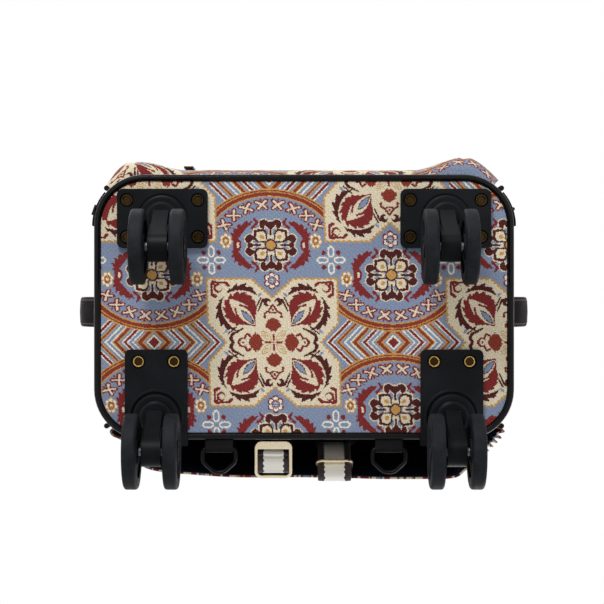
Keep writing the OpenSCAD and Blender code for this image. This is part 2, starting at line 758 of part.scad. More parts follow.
module grip() {
  h = grip_reach + grip_bar_h;
  leg = 34;
  channel_low = button_low - push_bar_t - button_travel - rest - grip_z;
  color("#1b1c1e") translate([0, shift_y + tube_y, grip_z]) difference() {
    translate([0, grip_d / 2, h / 2]) rotate([90, 0, 0]) linear_extrude(grip_d) difference() {
      rounded_rect(grip_w, h, 9);
      translate([0, -grip_bar_h]) rounded_rect(grip_w - 2 * leg, h, 7);
    }
    for (x = [-tube_x, tube_x]) translate([x, 0, -1]) linear_extrude(9 + seat)
      rounded_rect(inner_w + 2 * seat, inner_d + 2 * seat, tube_r + seat);
    translate([-button_l / 2 - rest, -button_w / 2 - rest, h - pocket_hole_h])
      cube([button_l + 2 * rest, button_w + 2 * rest, pocket_hole_h + 1]);
    translate([-push_bar_l / 2 - rest, -push_bar_d / 2 - rest, channel_low])
      cube([push_bar_l + 2 * rest, push_bar_d + 2 * rest, push_bar_t + button_travel + 2 * rest]);
    for (x = [-tube_x, tube_x]) translate([x, 0, 8])
      cylinder(r = rod_d / 2 + run, h = channel_low - 7);
  }
}

module release_button() {
  color("#3a3c40") translate([0, shift_y + tube_y, button_low]) linear_extrude(button_h)
    rounded_rect(button_l, button_w, 3);
}

// Bar under the button with a rod down each inner tube
module push_rods() {
  low = inner_low + latch_h - rod_lap;
  high = button_low - push_bar_t;
  color("#8d9094") translate([0, shift_y + tube_y, 0]) {
    translate([-push_bar_l / 2, -push_bar_d / 2, high]) cube([push_bar_l, push_bar_d, push_bar_t]);
    for (x = [-tube_x, tube_x]) translate([x, 0, low]) cylinder(r = rod_d / 2, h = high - low + 1);
  }
}

module button_spring() {
  low = grip_top - pocket_hole_h + 0.1;
  high = button_low - push_bar_t - 0.1;
  color("#a8abaf") translate([0, shift_y + tube_y, low]) difference() {
    cylinder(r = 4, h = high - low);
    translate([0, 0, -1]) cylinder(r = 3.2, h = high - low + 2);
  }
}

// Back: sleeve, straps, webbing, rings

// Plan of the sleeve, as shares of its half width and of its reach behind its side seams
cover_plan = [[-1, 0], [-0.99, 0.3], [-0.965, 0.5], [-0.86, 0.7], [-0.61, 0.88], [-0.3, 0.98], [0, 1],
  [0.35, 0.99], [0.7, 0.965], [0.87, 0.94], [0.935, 0.87], [0.97, 0.7], [0.99, 0.38], [1, 0]];

// Sleeve, slack on the left and boxy on the right, where its hem is gathered in folds
module back_cover() {
  edge = cover_w / 2;
  plan = curve(cover_plan, 4);
  last = len(plan) - 1;
  seam_y = wall_y(edge) + rest + 0.2;
  reach = half_d + cover_depth - seam_y;
  levels = concat([for (k = [0:6]) [hem_z + (cover_top - 40 - hem_z) * pow(k / 6, 1.6), 1]],
    [for (a = [15:15:90]) [cover_top - 40 + 40 * sin(a), max(0.16, cos(a))]]);
  function low(x) = wall_y(x) + rest + 0.2;
  function outward(s) = let (k = pow(abs(s), 12)) [sign(s) * k, sqrt(1 - k * k)];
  function fold(i, z) = i < last - 21 || i > last - 3 ? 0
    : gather * cos(60 * (last - i)) * exp((hem_z - z) / gather_run);
  function point(i, l, depth) = let (
      s = plan[i][0], x = edge * s, y = low(x) + (seam_y + reach * plan[i][1] - low(x)) * l[1],
      p = [x, y] + outward(s) * (fold(i, l[0]) - depth))
    [p[0], max(p[1], low(p[0]) + (depth > 0 ? 0.2 : 0)), l[0]];
  color("#7d2b2e") translate([0, shift_y, 0]) loft([for (l = levels) concat(
    [for (i = [0:last]) point(i, l, cover_t)], [for (i = [last:-1:0]) point(i, l, 0)])], strip = true);
}

module shoulder_strap(side) {
  color("#101113") translate([0, shift_y + strap_y + strap_t, 0]) rotate([90, 0, 0])
    linear_extrude(strap_t) hull() {
      translate([side * strap_head_x, strap_top - strap_head_r]) circle(strap_head_r, $fn = 40);
      translate([side * web_x, strap_low + 10]) square([web_w + 6, 20], center = true);
    }
}

module shoulder_strap_left() {
  shoulder_strap(-1);
}

module shoulder_strap_right() {
  shoulder_strap(1);
}

// Flat band of webbing along a route
module webbing(side, route) {
  m = len(route);
  loft([for (i = [0:m - 1])
    let (before = route[max(i - 1, 0)], after = route[min(i + 1, m - 1)],
      along = (after - before) / norm(after - before),
      n = [-along[1], along[0]] * web_t / 2,
      p = [route[i][0] + panel_d / 2 + shift_y, route[i][1] + panel_z],
      x0 = side * web_x - web_w / 2, x1 = side * web_x + web_w / 2)
    [[x0, p[0] - n[0], p[1] - n[1]], [x1, p[0] - n[0], p[1] - n[1]],
     [x1, p[0] + n[0], p[1] + n[1]], [x0, p[0] + n[0], p[1] + n[1]]]]);
}

module strap_webbing_left() {
  color("#d9d4c4") webbing(-1, left_route);
}

module strap_webbing_right() {
  color("#d9d4c4") webbing(1, right_route);
}

// Slide buckle in the XY plane, plate bar at its -Y end
module slide_buckle() {
  r = 0.8;
  bar = 6;
  half = buckle_w / 2 - r;
  end = buckle_l / 2 - r;
  for (x = [-half, half]) translate([x, -end, 0]) rotate([-90, 0, 0]) cylinder(r = r, h = 2 * end);
  translate([-half, end, 0]) rotate([0, 90, 0]) cylinder(r = r, h = 2 * half);
  for (x = [-half, half]) translate([x, end, 0]) sphere(r);
  translate([-half, -buckle_l / 2, -0.9]) cube([2 * half, bar, 1.8]);
}

module strap_buckle_left() {
  color("#c8b07a") translate([-web_x, shift_y + panel_d / 2 + 17.5, panel_z + 29.2])
    slide_buckle();
}

module strap_buckle_right() {
  color("#c8b07a") translate([web_x, shift_y + panel_d / 2 + 21.8, panel_z + 39])
    rotate([76, 0, 0]) slide_buckle();
}

// Outline of a ring from its bar to its blunt point
function ring_outline(half, low, high) =
  [[-half, low], [half, low], [half, high * 0.55], [half * 0.28, high], [-half * 0.28, high],
   [-half, high * 0.55]];

module d_ring(side) {
  r = ring_d / 2;
  half = ring_w / 2;
  color("#17181a") translate([side * ring_x, shift_y + ring_y, ring_z]) {
    translate([-half, 0, 0]) rotate([0, 90, 0]) cylinder(r = r, h = ring_w);
    translate([0, 0, -r]) linear_extrude(ring_d) difference() {
      polygon(ring_outline(half, 0, ring_l));
      polygon(ring_outline(half - ring_d, -1, ring_l - ring_d));
    }
  }
}

module d_ring_left() {
  d_ring(-1);
}

module d_ring_right() {
  d_ring(1);
}

// Each tab is one webbing loop, sewn in behind the piping and closed round the ring's bar
module d_ring_tabs() {
  bar_r = ring_d / 2 + run;
  tab_w = ring_w - 2 * ring_d - 1;
  color("#15161a") for (s = [-1, 1])
    translate([s * ring_x, shift_y + ring_y, ring_z]) rotate([90, 0, 90])
      linear_extrude(tab_w, center = true) difference() {
        union() {
          circle(bar_r + 1.3);
          translate([-6.7, -1.3]) square([6, 2.6]);
        }
        circle(bar_r);
      }
}

base_panel();
base_piping();
base_tray();
caster_rivets();
kingpins();
body_shell();
body_piping();
back_pad();
main_zip_tape();
main_zip_slider();
main_zip_pull();
front_pocket();
pocket_zip_tape();
pocket_zip_slider();
pocket_zip_pull();
side_handle_left();
side_handle_right();
top_handle();
handle_bezel();
outer_tubes();
middle_tubes();
inner_tubes();
latch_blocks();
grip();
release_button();
push_rods();
button_spring();
back_cover();
shoulder_strap_left();
shoulder_strap_right();
strap_webbing_left();
strap_webbing_right();
strap_buckle_left();
strap_buckle_right();
d_ring_left();
d_ring_right();
d_ring_tabs();
for (c = CASTERS) {
  caster_plate(c);
  caster_fork(c);
  caster_axle(c);
  wheel(c, -1);
  wheel(c, 1);
}
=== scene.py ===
import bmesh
import bpy
import json
import math
from mathutils import Matrix, Vector, noise


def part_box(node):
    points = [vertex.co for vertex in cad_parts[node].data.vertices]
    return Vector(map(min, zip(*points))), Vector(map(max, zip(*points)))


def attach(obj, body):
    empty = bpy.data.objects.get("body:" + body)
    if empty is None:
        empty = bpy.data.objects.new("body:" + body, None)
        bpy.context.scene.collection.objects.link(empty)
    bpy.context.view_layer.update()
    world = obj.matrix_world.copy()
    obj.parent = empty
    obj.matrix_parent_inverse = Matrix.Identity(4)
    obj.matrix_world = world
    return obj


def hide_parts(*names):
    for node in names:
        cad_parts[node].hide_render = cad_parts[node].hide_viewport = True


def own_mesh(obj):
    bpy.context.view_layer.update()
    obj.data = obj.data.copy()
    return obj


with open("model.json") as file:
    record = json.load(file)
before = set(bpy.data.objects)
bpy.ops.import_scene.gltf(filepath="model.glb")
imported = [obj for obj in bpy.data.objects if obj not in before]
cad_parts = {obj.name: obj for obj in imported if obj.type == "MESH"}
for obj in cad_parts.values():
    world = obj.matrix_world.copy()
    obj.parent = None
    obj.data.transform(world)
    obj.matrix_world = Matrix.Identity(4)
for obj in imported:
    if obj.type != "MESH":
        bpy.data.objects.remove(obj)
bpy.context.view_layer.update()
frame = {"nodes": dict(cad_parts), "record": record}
nodes = frame["nodes"]
print("frame loaded,", len(nodes), "nodes")

# the bottom panel's middle and plane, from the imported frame
panelLow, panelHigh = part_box("base_panel")
panelMiddle = (panelLow + panelHigh) / 2
panelPlane = panelLow.z


def srgb(code):
    parts = [int(code[i:i + 2], 16) / 255 for i in (1, 3, 5)]
    return [c / 12.92 if c <= 0.04045 else ((c + 0.055) / 1.055) ** 2.4 for c in parts] + [1]


def addNode(tree, kind, links=(), **settings):
    # adds a node with its settings, links its open inputs in order, and gives back its first open output
    node = tree.nodes.new(kind)
    for name, value in settings.items():
        setattr(node, name, value)
    if isinstance(links, dict):
        pairs = [(node.inputs[name], value) for name, value in links.items()]
    else:
        pairs = list(zip([s for s in node.inputs if s.enabled], links))
    for socket, value in pairs:
        if isinstance(value, bpy.types.NodeSocket):
            tree.links.new(value, socket)
        elif value is not None:
            socket.default_value = value
    return next((s for s in node.outputs if s.enabled), node)


# camera: below the bag, looking straight up, the bag's front towards the top of the picture
view = {"distance": 1.2, "focalPixels": 1632, "framePixels": 604, "sensor": 36, "nearest": 0.01,
        "middle": (-0.0015, -0.0037)}

cameraData = bpy.data.cameras.new("camera")
cameraData.lens = view["focalPixels"] / view["framePixels"] * view["sensor"]
cameraData.sensor_width = view["sensor"]
cameraData.clip_start = view["nearest"]
camera = bpy.data.objects.new("camera", cameraData)
bpy.context.scene.collection.objects.link(camera)
bpy.context.scene.camera = camera
camera.location = (view["middle"][0], view["middle"][1] + panelMiddle.y, panelPlane - view["distance"])
camera.rotation_euler = (math.pi, 0, 0)  # looks along +Z, with -Y up in the picture

# lights: a key beyond the front edge and a weak, broad fill behind, both below the floor; two more above it
# light the upper side for views from there. Each aims at a height on the bag's middle line.
lamps = {
    "key": {"place": (-0.35, -1.15, -0.75), "aim": 0.06, "size": 0.42, "watts": 17},
    "fill": {"place": (0.9, 0.5, -0.7), "aim": 0.06, "size": 1.2, "watts": 6},
    "skyKey": {"place": (-0.8, -1.2, 1.7), "aim": 0.25, "size": 1.2, "watts": 16},
    "skyBack": {"place": (0.9, 1.3, 1.5), "aim": 0.25, "size": 1.2, "watts": 12}}
for name, lamp in lamps.items():
    data = bpy.data.lights.new(name, "AREA")
    data.size = lamp["size"]
    data.energy = lamp["watts"]
    light = bpy.data.objects.new(name, data)
    bpy.context.scene.collection.objects.link(light)
    light.location = lamp["place"]
    aim = Vector((0, 0, lamp["aim"])) - light.location
    light.rotation_euler = aim.to_track_quat("-Z", "Y").to_euler()

# world: white where it is seen or mirrored, dimmer as a light
ambient = 0.62
white = (1, 1, 1, 1)

world = bpy.data.worlds.new("studio")
bpy.context.scene.world = world
world.use_nodes = True
tree = world.node_tree
tree.nodes.clear()
ray = addNode(tree, "ShaderNodeLightPath").node
seen = addNode(tree, "ShaderNodeMath", [ray.outputs["Is Camera Ray"], ray.outputs["Is Glossy Ray"]],
               operation="MAXIMUM")
seen = addNode(tree, "ShaderNodeMath", [seen, ray.outputs["Is Transmission Ray"]], operation="MAXIMUM")
strength = addNode(tree, "ShaderNodeMapRange", [seen, 0, 1, ambient, 1])
background = addNode(tree, "ShaderNodeBackground", [white, strength])
addNode(tree, "ShaderNodeOutputWorld", [background])

bpy.context.scene.view_settings.view_transform = "Standard"
print("camera and lights set")

# floor: pale and plain, seen only from above, because the photograph looks up from under it
floorSettings = {"half": 30, "drop": 0.0003, "colour": "#e9e9e9", "glow": 0.32}

floorMesh = bpy.data.meshes.new("floor")
bm = bmesh.new()
bmesh.ops.create_grid(bm, x_segments=1, y_segments=1, size=floorSettings["half"])
bm.to_mesh(floorMesh)
bm.free()
floor = bpy.data.objects.new("floor", floorMesh)
bpy.context.scene.collection.objects.link(floor)
floor.location.z = -floorSettings["drop"]
floor.visible_shadow = False
floor.visible_diffuse = False

floorPaint = bpy.data.materials.new("paleStudioFloor")
floorPaint.use_nodes = True
tree = floorPaint.node_tree
tree.nodes.clear()
side = addNode(tree, "ShaderNodeNewGeometry").node
matt = addNode(tree, "ShaderNodeBsdfDiffuse", [srgb(floorSettings["colour"])])
glow = addNode(tree, "ShaderNodeEmission", [white, floorSettings["glow"]])
paint = addNode(tree, "ShaderNodeAddShader", [matt, glow])
clear = addNode(tree, "ShaderNodeBsdfTransparent")
mixed = addNode(tree, "ShaderNodeMixShader", [side.outputs["Backfacing"], paint, clear])
addNode(tree, "ShaderNodeOutputMaterial", [mixed])
floorMesh.materials.append(floorPaint)

# carpet ornament, drawn in stitches: four shapes are node groups, the motifs are lists of them in
# millimetres, each with its yarn


def newGroup(name, sockets):
    group = bpy.data.node_groups.new(name, "ShaderNodeTree")
    for label, kind in sockets.items():
        group.interface.new_socket(name=label, in_out="INPUT", socket_type="NodeSocket" + kind)
    group.interface.new_socket(name="Mask", in_out="OUTPUT", socket_type="NodeSocketFloat")
    entry = group.nodes.new("NodeGroupInput")
    return group, [entry.outputs[label] for label in sockets]


def alongLine(group, point, start, end):
    # how far along the line from start to end a point is, as a share, and how far off it
    way = addNode(group, "ShaderNodeVectorMath", [end, start], operation="SUBTRACT")
    here = addNode(group, "ShaderNodeVectorMath", [point, start], operation="SUBTRACT")
    dot = addNode(group, "ShaderNodeVectorMath", [here, way], operation="DOT_PRODUCT")
    square = addNode(group, "ShaderNodeVectorMath", [way, way], operation="DOT_PRODUCT")
    along = addNode(group, "ShaderNodeMath", [dot, square], operation="DIVIDE")
    along = addNode(group, "ShaderNodeClamp", [along])
    foot = addNode(group, "ShaderNodeVectorMath", [way, along], operation="SCALE")
    return along, addNode(group, "ShaderNodeVectorMath", [here, foot], operation="DISTANCE")


def swellAndTeeth(group, along, lean, teeth, depth):
    # a swell that grows and falls along a leaf, and the depth of its saw teeth
    leant = addNode(group, "ShaderNodeMath", [along, lean], operation="POWER")
    angle = addNode(group, "ShaderNodeMath", [leant, math.pi], operation="MULTIPLY")
    swell = addNode(group, "ShaderNodeMath", [angle], operation="SINE")
    count = addNode(group, "ShaderNodeMath", [along, teeth], operation="MULTIPLY")
    tooth = addNode(group, "ShaderNodeMath", [count], operation="FRACT")
    return swell, addNode(group, "ShaderNodeMath", [tooth, depth], operation="MULTIPLY")


def makeStroke():
    group, (point, start, end, first, last) = newGroup("stitchStroke", {
        "Point": "Vector", "Start": "Vector", "End": "Vector", "First": "Float", "Last": "Float"})
    along, off = alongLine(group, point, start, end)
    change = addNode(group, "ShaderNodeMath", [last, first], operation="SUBTRACT")
    width = addNode(group, "ShaderNodeMath", [change, along, first], operation="MULTIPLY_ADD")
    mask = addNode(group, "ShaderNodeMath", [off, width], operation="LESS_THAN")
    addNode(group, "NodeGroupOutput", [mask])
    return group


def makeOval():
    group, (point, centre, radii, turn) = newGroup("stitchOval", {
        "Point": "Vector", "Centre": "Vector", "Radii": "Vector", "Turn": "Float"})
    here = addNode(group, "ShaderNodeVectorMath", [point, centre], operation="SUBTRACT")
    turned = addNode(group, "ShaderNodeVectorRotate", {"Vector": here, "Angle": turn},
                     rotation_type="Z_AXIS")
    share = addNode(group, "ShaderNodeVectorMath", [turned, radii], operation="DIVIDE")
    far = addNode(group, "ShaderNodeVectorMath", [share], operation="LENGTH")
    mask = addNode(group, "ShaderNodeMath", [far, 1], operation="LESS_THAN")
    addNode(group, "NodeGroupOutput", [mask])
    return group


def makeLeaf():
    group, (point, start, end, width, lean, teeth, depth) = newGroup("stitchLeaf", {
        "Point": "Vector", "Start": "Vector", "End": "Vector", "Width": "Float", "Lean": "Float",
        "Teeth": "Float", "Depth": "Float"})
    along, off = alongLine(group, point, start, end)
    swell, bite = swellAndTeeth(group, along, lean, teeth, depth)
    full = addNode(group, "ShaderNodeMath", [swell, width], operation="MULTIPLY")
    edge = addNode(group, "ShaderNodeMath", [full, bite], operation="SUBTRACT")
    mask = addNode(group, "ShaderNodeMath", [off, edge], operation="LESS_THAN")
    addNode(group, "NodeGroupOutput", [mask])
    return group


def makeArc():
    group, (point, centre, radius, width, first, last, lean, teeth, depth) = newGroup("stitchArc", {
        "Point": "Vector", "Centre": "Vector", "Radius": "Float", "Width": "Float", "First": "Float",
        "Last": "Float", "Lean": "Float", "Teeth": "Float", "Depth": "Float"})
    here = addNode(group, "ShaderNodeVectorMath", [point, centre], operation="SUBTRACT")
    parts = addNode(group, "ShaderNodeSeparateXYZ", [here]).node
    angle = addNode(group, "ShaderNodeMath", [parts.outputs["Y"], parts.outputs["X"]], operation="ARCTAN2")
    away = addNode(group, "ShaderNodeVectorMath", [here], operation="LENGTH")
    off = addNode(group, "ShaderNodeMath", [away, radius], operation="SUBTRACT")
    span = addNode(group, "ShaderNodeMath", [last, first], operation="SUBTRACT")
    gone = addNode(group, "ShaderNodeMath", [angle, first], operation="SUBTRACT")
    along = addNode(group, "ShaderNodeMath", [gone, span], operation="DIVIDE")
    along = addNode(group, "ShaderNodeClamp", [along])
    swell, spike = swellAndTeeth(group, along, lean, teeth, depth)
    full = addNode(group, "ShaderNodeMath", [swell, width], operation="MULTIPLY")
    spike = addNode(group, "ShaderNodeMath", [spike, swell], operation="MULTIPLY")
    inner = addNode(group, "ShaderNodeMath", [off, -1], operation="MULTIPLY")
    outer = addNode(group, "ShaderNodeMath", [off, spike], operation="SUBTRACT")
    worst = addNode(group, "ShaderNodeMath", [inner, outer], operation="MAXIMUM")
    mask = addNode(group, "ShaderNodeMath", [worst, full], operation="LESS_THAN")
    addNode(group, "NodeGroupOutput", [mask])
    return group


shapes = {"stroke": makeStroke(), "oval": makeOval(), "leaf": makeLeaf(), "arc": makeArc()}

yarn = {"blue": "#727f96", "cream": "#c6bba2", "red": "#6d1f1f", "maroon": "#421416", "rust": "#772c1f",
        "gold": "#ad8347", "white": "#d0cabb"}
carpet = {
    "column": 88, "repeat": 242, "medallion": 71.5, "stitch": 0.55, "lean": 0.0307,
    # cream field: its side and top, how deep and steep its notches are, and the gold edge whipped round it
    "field": [47.0, 45.8, 31.6, 0.9, 33.8, 0.9],
    "notchShare": 0.75,
    "edge": {"gold": 1.7, "cream": 0.3, "stitch": 0.45, "beat": 1.5},
    # how much wider than high the medallion and its wreath are, and where the border ends
    "wide": 1.298, "wreathWide": 1.36, "rim": 41.4, "span": 60,
    "crosses": {"radius": 30, "half": 5, "step": 17.3, "each": 4, "along": 34, "out": 1.1},
    "petal": {"waist": 0.62, "round": 0.5, "gap": 0.34, "gapFrom": 0.5},
    "quatrefoil": [
        ("leaf", "red", (12.6, 11.6), (27, 28), 7.2, 1.1, 1, 0),
        ("oval", "red", (22.9, 24), (10.9, 10.4), 0),
        ("arc", "red", (22.9, 24), 10.2, 2, -115, 205, 0.9, 13, 2.2),
        ("leaf", "cream", (13.6, 12.7), (30.6, 31.2), 3.9, 0.8, 1, 0),
        ("stroke", "cream", (30.4, 30.6), (23.4, 28.8), 1.3, 0.7),
        ("stroke", "cream", (23.4, 28.8), (18.8, 26.9), 0.7, 0.2),
        ("stroke", "cream", (30.4, 30.4), (29.2, 24.6), 1.3, 0.7),
        ("stroke", "cream", (29.2, 24.6), (27.6, 20.4), 0.7, 0.2),
        ("stroke", "red", (24.2, 27.3), (20, 25.8), 0.7, 0.3),
        ("stroke", "red", (27.6, 25.2), (26.4, 20.8), 0.7, 0.3),
        ("leaf", "maroon", (13.8, 13.1), (23.6, 24), 2.4, 1, 1, 0),
        ("leaf", "blue", (14.6, 14), (22.8, 23.1), 1.8, 1, 1, 0),
        ("arc", "maroon", (23.3, 24.3), 15.6, 1.7, 44, 142, 1.1, 5, 2.6),
        ("arc", "maroon", (23.3, 24.3), 15.6, 1.8, 40, -80, 1.1, 6, 2.6),
        ("stroke", "red", (32.4, 42), (34.6, 44), 1.3, 1.1),
        ("stroke", "red", (34.6, 44), (43.8, 44.3), 0.9, 0.9),
        ("stroke", "red", (44.3, 44), (44.6, 35.6), 0.9, 1),
        ("stroke", "red", (44.4, 35.2), (41.8, 33.8), 1.2, 1.3),
        ("arc", "red", (39.6, 39.8), 2.7, 1, -200, 160, 1, 1, 0),
        ("stroke", "red", (41.6, 41.6), (44.2, 44), 0.8, 0.8),
        ("leaf", "blue", (8, 36.8), (10.8, 33.2), 1, 1, 1, 0),
        ("leaf", "blue", (33, 10), (36.6, 6.4), 1, 1, 1, 0),
        ("arc", "maroon", (3.6, 29.4), 2, 1.5, -130, 180, 1, 1, 0),
        ("stroke", "maroon", (4.2, 31.4), (7.4, 31), 1.2, 0.9),
        ("stroke", "maroon", (7.4, 31), (11, 22.6), 0.9, 0.5),
        ("stroke", "maroon", (8.6, 32.8), (11.6, 26.8), 0.7, 0.6),
        ("stroke", "maroon", (22.1, 10.2), (30.4, 6), 0.6, 1.1),
        ("stroke", "maroon", (30.4, 6), (31.6, 2.6), 1.1, 1.3),
        ("stroke", "maroon", (31.6, 2.6), (30, 0), 1.3, 1.1),
        ("stroke", "maroon", (27.2, 11.3), (33.2, 6.4), 0.7, 0.5),
        ("stroke", "red", (0, 27.4), (3.2, 23), 0.8, 0.7),
        ("stroke", "red", (3.2, 22.4), (0.4, 21.6), 0.7, 0.6),
        ("stroke", "red", (3, 22.8), (6.2, 21.2), 0.7, 0.7),
        ("stroke", "red", (6.4, 21), (6.2, 18.8), 0.7, 1),
        ("oval", "red", (0, 23.8), (0.8, 1.2), 0),
        ("arc", "red", (22.8, 0), 2.9, 0.9, -180, 180, 1, 1, 0),
        ("oval", "red", (22.8, 0), (0.8, 0.8), 0),
        ("stroke", "red", (21.4, 3), (19.6, 6.2), 0.8, 0.8),
        ("stroke", "red", (19.6, 6.2), (17.4, 5), 0.8, 1),
        ("leaf", "rust", (0, 6.4), (0, 19.2), 6.6, 1, 3, 1.7),
        ("leaf", "rust", (6.6, 0), (19.4, 0), 7.4, 1, 4, 1.5),
        ("leaf", "gold", (1.4, 1.3), (9.4, 8.8), 2.5, 1, 1, 0),
        ("leaf", "cream", (2, 1.9), (8.6, 8.1), 1.9, 1, 1, 0),
        ("leaf", "gold", (4, 3.8), (7.6, 7.1), 1, 1, 1, 0),
        ("leaf", "cream", (4.6, 4.4), (7, 6.5), 0.5, 1, 1, 0),
        ("stroke", "rust", (0, 0.6), (0, 9.5), 0.5, 1),
        ("stroke", "rust", (0.8, 0), (9.5, 0), 0.5, 0.9),
        ("oval", "cream", (0, 7.4), (0.9, 1.2), 0),
        ("oval", "cream", (7.6, 0), (1.2, 0.9), 0)],
    "flower": [
        ("oval", "red", (23.9, 0), (2.2, 4.5), 0),
        ("oval", "cream", (24.1, 0), (1, 2.2), 0),
        ("stroke", "red", (8.7, 10.7), (13.7, 12.8), 1.5, 1.1),
        ("stroke", "red", (13.4, 13.2), (9.8, 16), 0.8, 0.9),
        ("stroke", "red", (9.6, 16.2), (11.8, 19.4), 1.3, 0.8),
        ("stroke", "red", (15.6, 15), (17.4, 17.6), 0.9, 0.5),
        ("oval", "cream", (4.7, 15.4), (4.2, 4.2), 0),
        ("oval", "cream", (0, 14.2), (3.6, 4), 0),
        ("oval", "cream", (15.3, 4.3), (4.2, 4.2), 0),
        ("oval", "cream", (14.4, 0), (3.6, 3.4), 0),
        ("leaf", "cream", (1.6, 1.6), (13, 11.9), 6.4, 1.25, 1, 0),
        ("oval", "maroon", (4.7, 15.4), (3.5, 3.5), 0),
        ("oval", "maroon", (0, 14.2), (2.8, 3.2), 0),
        ("oval", "maroon", (15.3, 4.3), (3.5, 3.5), 0),
        ("oval", "maroon", (14.4, 0), (2.8, 2.6), 0),
        ("leaf", "cream", (1.2, 4.6), (3.8, 14.6), 2.3, 1, 1, 0),
        ("leaf", "blue", (1.9, 7), (3.4, 13.2), 1.3, 1, 1, 0),
        ("leaf", "cream", (5.4, 2), (15, 2.3), 2.1, 1, 1, 0),
        ("leaf", "blue", (7.6, 2.1), (13.6, 2.3), 1.2, 1, 1, 0),
        ("stroke", "maroon", (0, 2), (0, 15), 1, 1),
        ("stroke", "maroon", (2, 0), (15, 0), 1, 1),
        ("leaf", "maroon", (1.8, 1.6), (12, 11), 5.6, 1.25, 1, 0),
        ("leaf", "cream", (3, 2.8), (10.2, 9.4), 3.8, 1.25, 1, 0),
        ("leaf", "gold", (4.6, 4.4), (8, 7.4), 1.5, 1.2, 1, 0),
        ("oval", "maroon", (0, 0), (4.5, 4.5), 0),
        ("oval", "gold", (0, 0), (3.4, 3.4), 0),
        ("oval", "cream", (0, 5.9), (1.1, 1.1), 0),
        ("oval", "cream", (6, 0), (1.2, 1.6), 0)],
    # ring of leaves round the flower, on coordinates that turn its oval round
    "wreath": [
        ("arc", "red", (0, 0), 19.3, 1.3, -62, 62, 1, 1, 0),
        ("arc", "red", (0, 0), 19.6, 2.1, 4, 62, 0.9, 6, 2.4)],
    # size, place and petals in millimetres, and the yarn inside each share of the petals' reach
    "rosettes": [
        {"place": (33, 74.5, 0), "petals": 7, "size": 6.3, "narrow": 1.25,
         "rings": ((1, "gold"), (0.84, "white"), (0.55, "gold"), (0.46, "rust"), (0.34, "gold"),
                   (0.18, "white"))},
        {"place": (0, 45.5, 0), "petals": 6, "size": 6.6, "narrow": 1.02,
         "rings": ((1, "red"), (0.82, "white"), (0.52, "red"), (0.4, "blue"), (0.17, "white"),
                   (0.1, "red"))}],
    "blossom": [
        ("oval", "white", (6.2, 0), (4.5, 2.7), 0),
        ("oval", "blue", (6.2, 0), (3.2, 1.5), 0),
        ("oval", "white", (0, 6.2), (2.7, 4.5), 0),
        ("oval", "blue", (0, 6.2), (1.5, 3.2), 0),
        ("oval", "red", (5.4, 5.4), (1.7, 1.8), 0)],
    "cross": [
        ("stroke", "red", (0.4, 0.4), (2.9, 2.9), 1.7, 1.75),
        ("stroke", "red", (0, 3.6), (0, 4.6), 0.5, 0.5),
        ("stroke", "cream", (0, 0), (2.8, 2.8), 0.62, 0.7)],
    # border of the medallion: distance on the oval, and the yarn from there on
    "border": [(0, "blue"), (35.2, "gold"), (36.1, "rust"), (38.9, "gold"), (39.5, "rust"), (40.5, "gold"),
               (41.4, "blue")],
    # chevrons: distance from the little diamond's centre, and the yarn from there on
    "chevron": [(0, "red"), (4.2, "white"), (5.5, "blue"), (7.3, "gold"), (8.8, "rust"), (12, "gold"),
                (13.2, "blue"), (14.8, "white"), (16.1, "blue"), (18.6, "white"), (20, "red"),
                (22.6, "white"), (23.8, "blue"), (25.8, "gold"), (27, "rust"), (30, "gold"),
                (30.9, "white"), (32.1, "blue"), (34.5, "white"), (36.3, "blue"), (38.8, "gold"),
                (39.5, "rust"), (41.7, "gold"), (42.3, "blue"), (44.9, "white"), (46, "red"),
                (48.6, "white"), (49.9, "blue")]}


def drawMotif(tree, point, ground, motif):
    # lays a motif's shapes over the ground, one after the other
    for kind, colour, *values in motif:
        fixed = []
        for i, value in enumerate(values):
            if isinstance(value, tuple):
                value = (value[0], value[1], 1 if kind == "oval" and i == 1 else 0)
            elif kind == "arc" and i in (3, 4):
                value = math.radians(value)
            fixed.append(value)
        mask = addNode(tree, "ShaderNodeGroup", [point] + fixed, node_tree=shapes[kind])
        ground = addNode(tree, "ShaderNodeMix", [mask, ground, srgb(yarn[colour])], data_type="RGBA",
                         clamp_factor=False)
    return ground


def addStripes(tree, distance, stops):
    # bands of yarn: each stop is a place in millimetres and the yarn from there on
    share = addNode(tree, "ShaderNodeMath", [distance, carpet["span"]], operation="DIVIDE")
    bands = addNode(tree, "ShaderNodeValToRGB", [share])
    ramp = bands.node.color_ramp
    ramp.interpolation = "CONSTANT"
    for i, (place, colour) in enumerate(stops):
        if i < 2:
            ramp.elements[i].position = place / carpet["span"]
        else:
            ramp.elements.new(place / carpet["span"])
        ramp.elements[i].color = srgb(yarn[colour])
    return bands


def fieldEdge(tree, p, q):
    # how far a point lies outside the cream field, its four notches included
    side, top, notchTop, steepTop, notchSide, steepSide = carpet["field"]
    overSide = addNode(tree, "ShaderNodeMath", [p, side], operation="SUBTRACT")
    overTop = addNode(tree, "ShaderNodeMath", [q, top], operation="SUBTRACT")
    square = addNode(tree, "ShaderNodeMath", [overSide, overTop], operation="MAXIMUM")
    slopeTop = addNode(tree, "ShaderNodeMath", [p, -steepTop, q], operation="MULTIPLY_ADD")
    slopeTop = addNode(tree, "ShaderNodeMath", [slopeTop, notchTop], operation="SUBTRACT")
    slopeSide = addNode(tree, "ShaderNodeMath", [q, -steepSide, p], operation="MULTIPLY_ADD")
    slopeSide = addNode(tree, "ShaderNodeMath", [slopeSide, notchSide], operation="SUBTRACT")
    notch = addNode(tree, "ShaderNodeMath", [slopeTop, slopeSide], operation="MAXIMUM")
    notch = addNode(tree, "ShaderNodeMath", [notch, carpet["notchShare"]], operation="MULTIPLY")
    return addNode(tree, "ShaderNodeMath", [square, notch], operation="MAXIMUM")


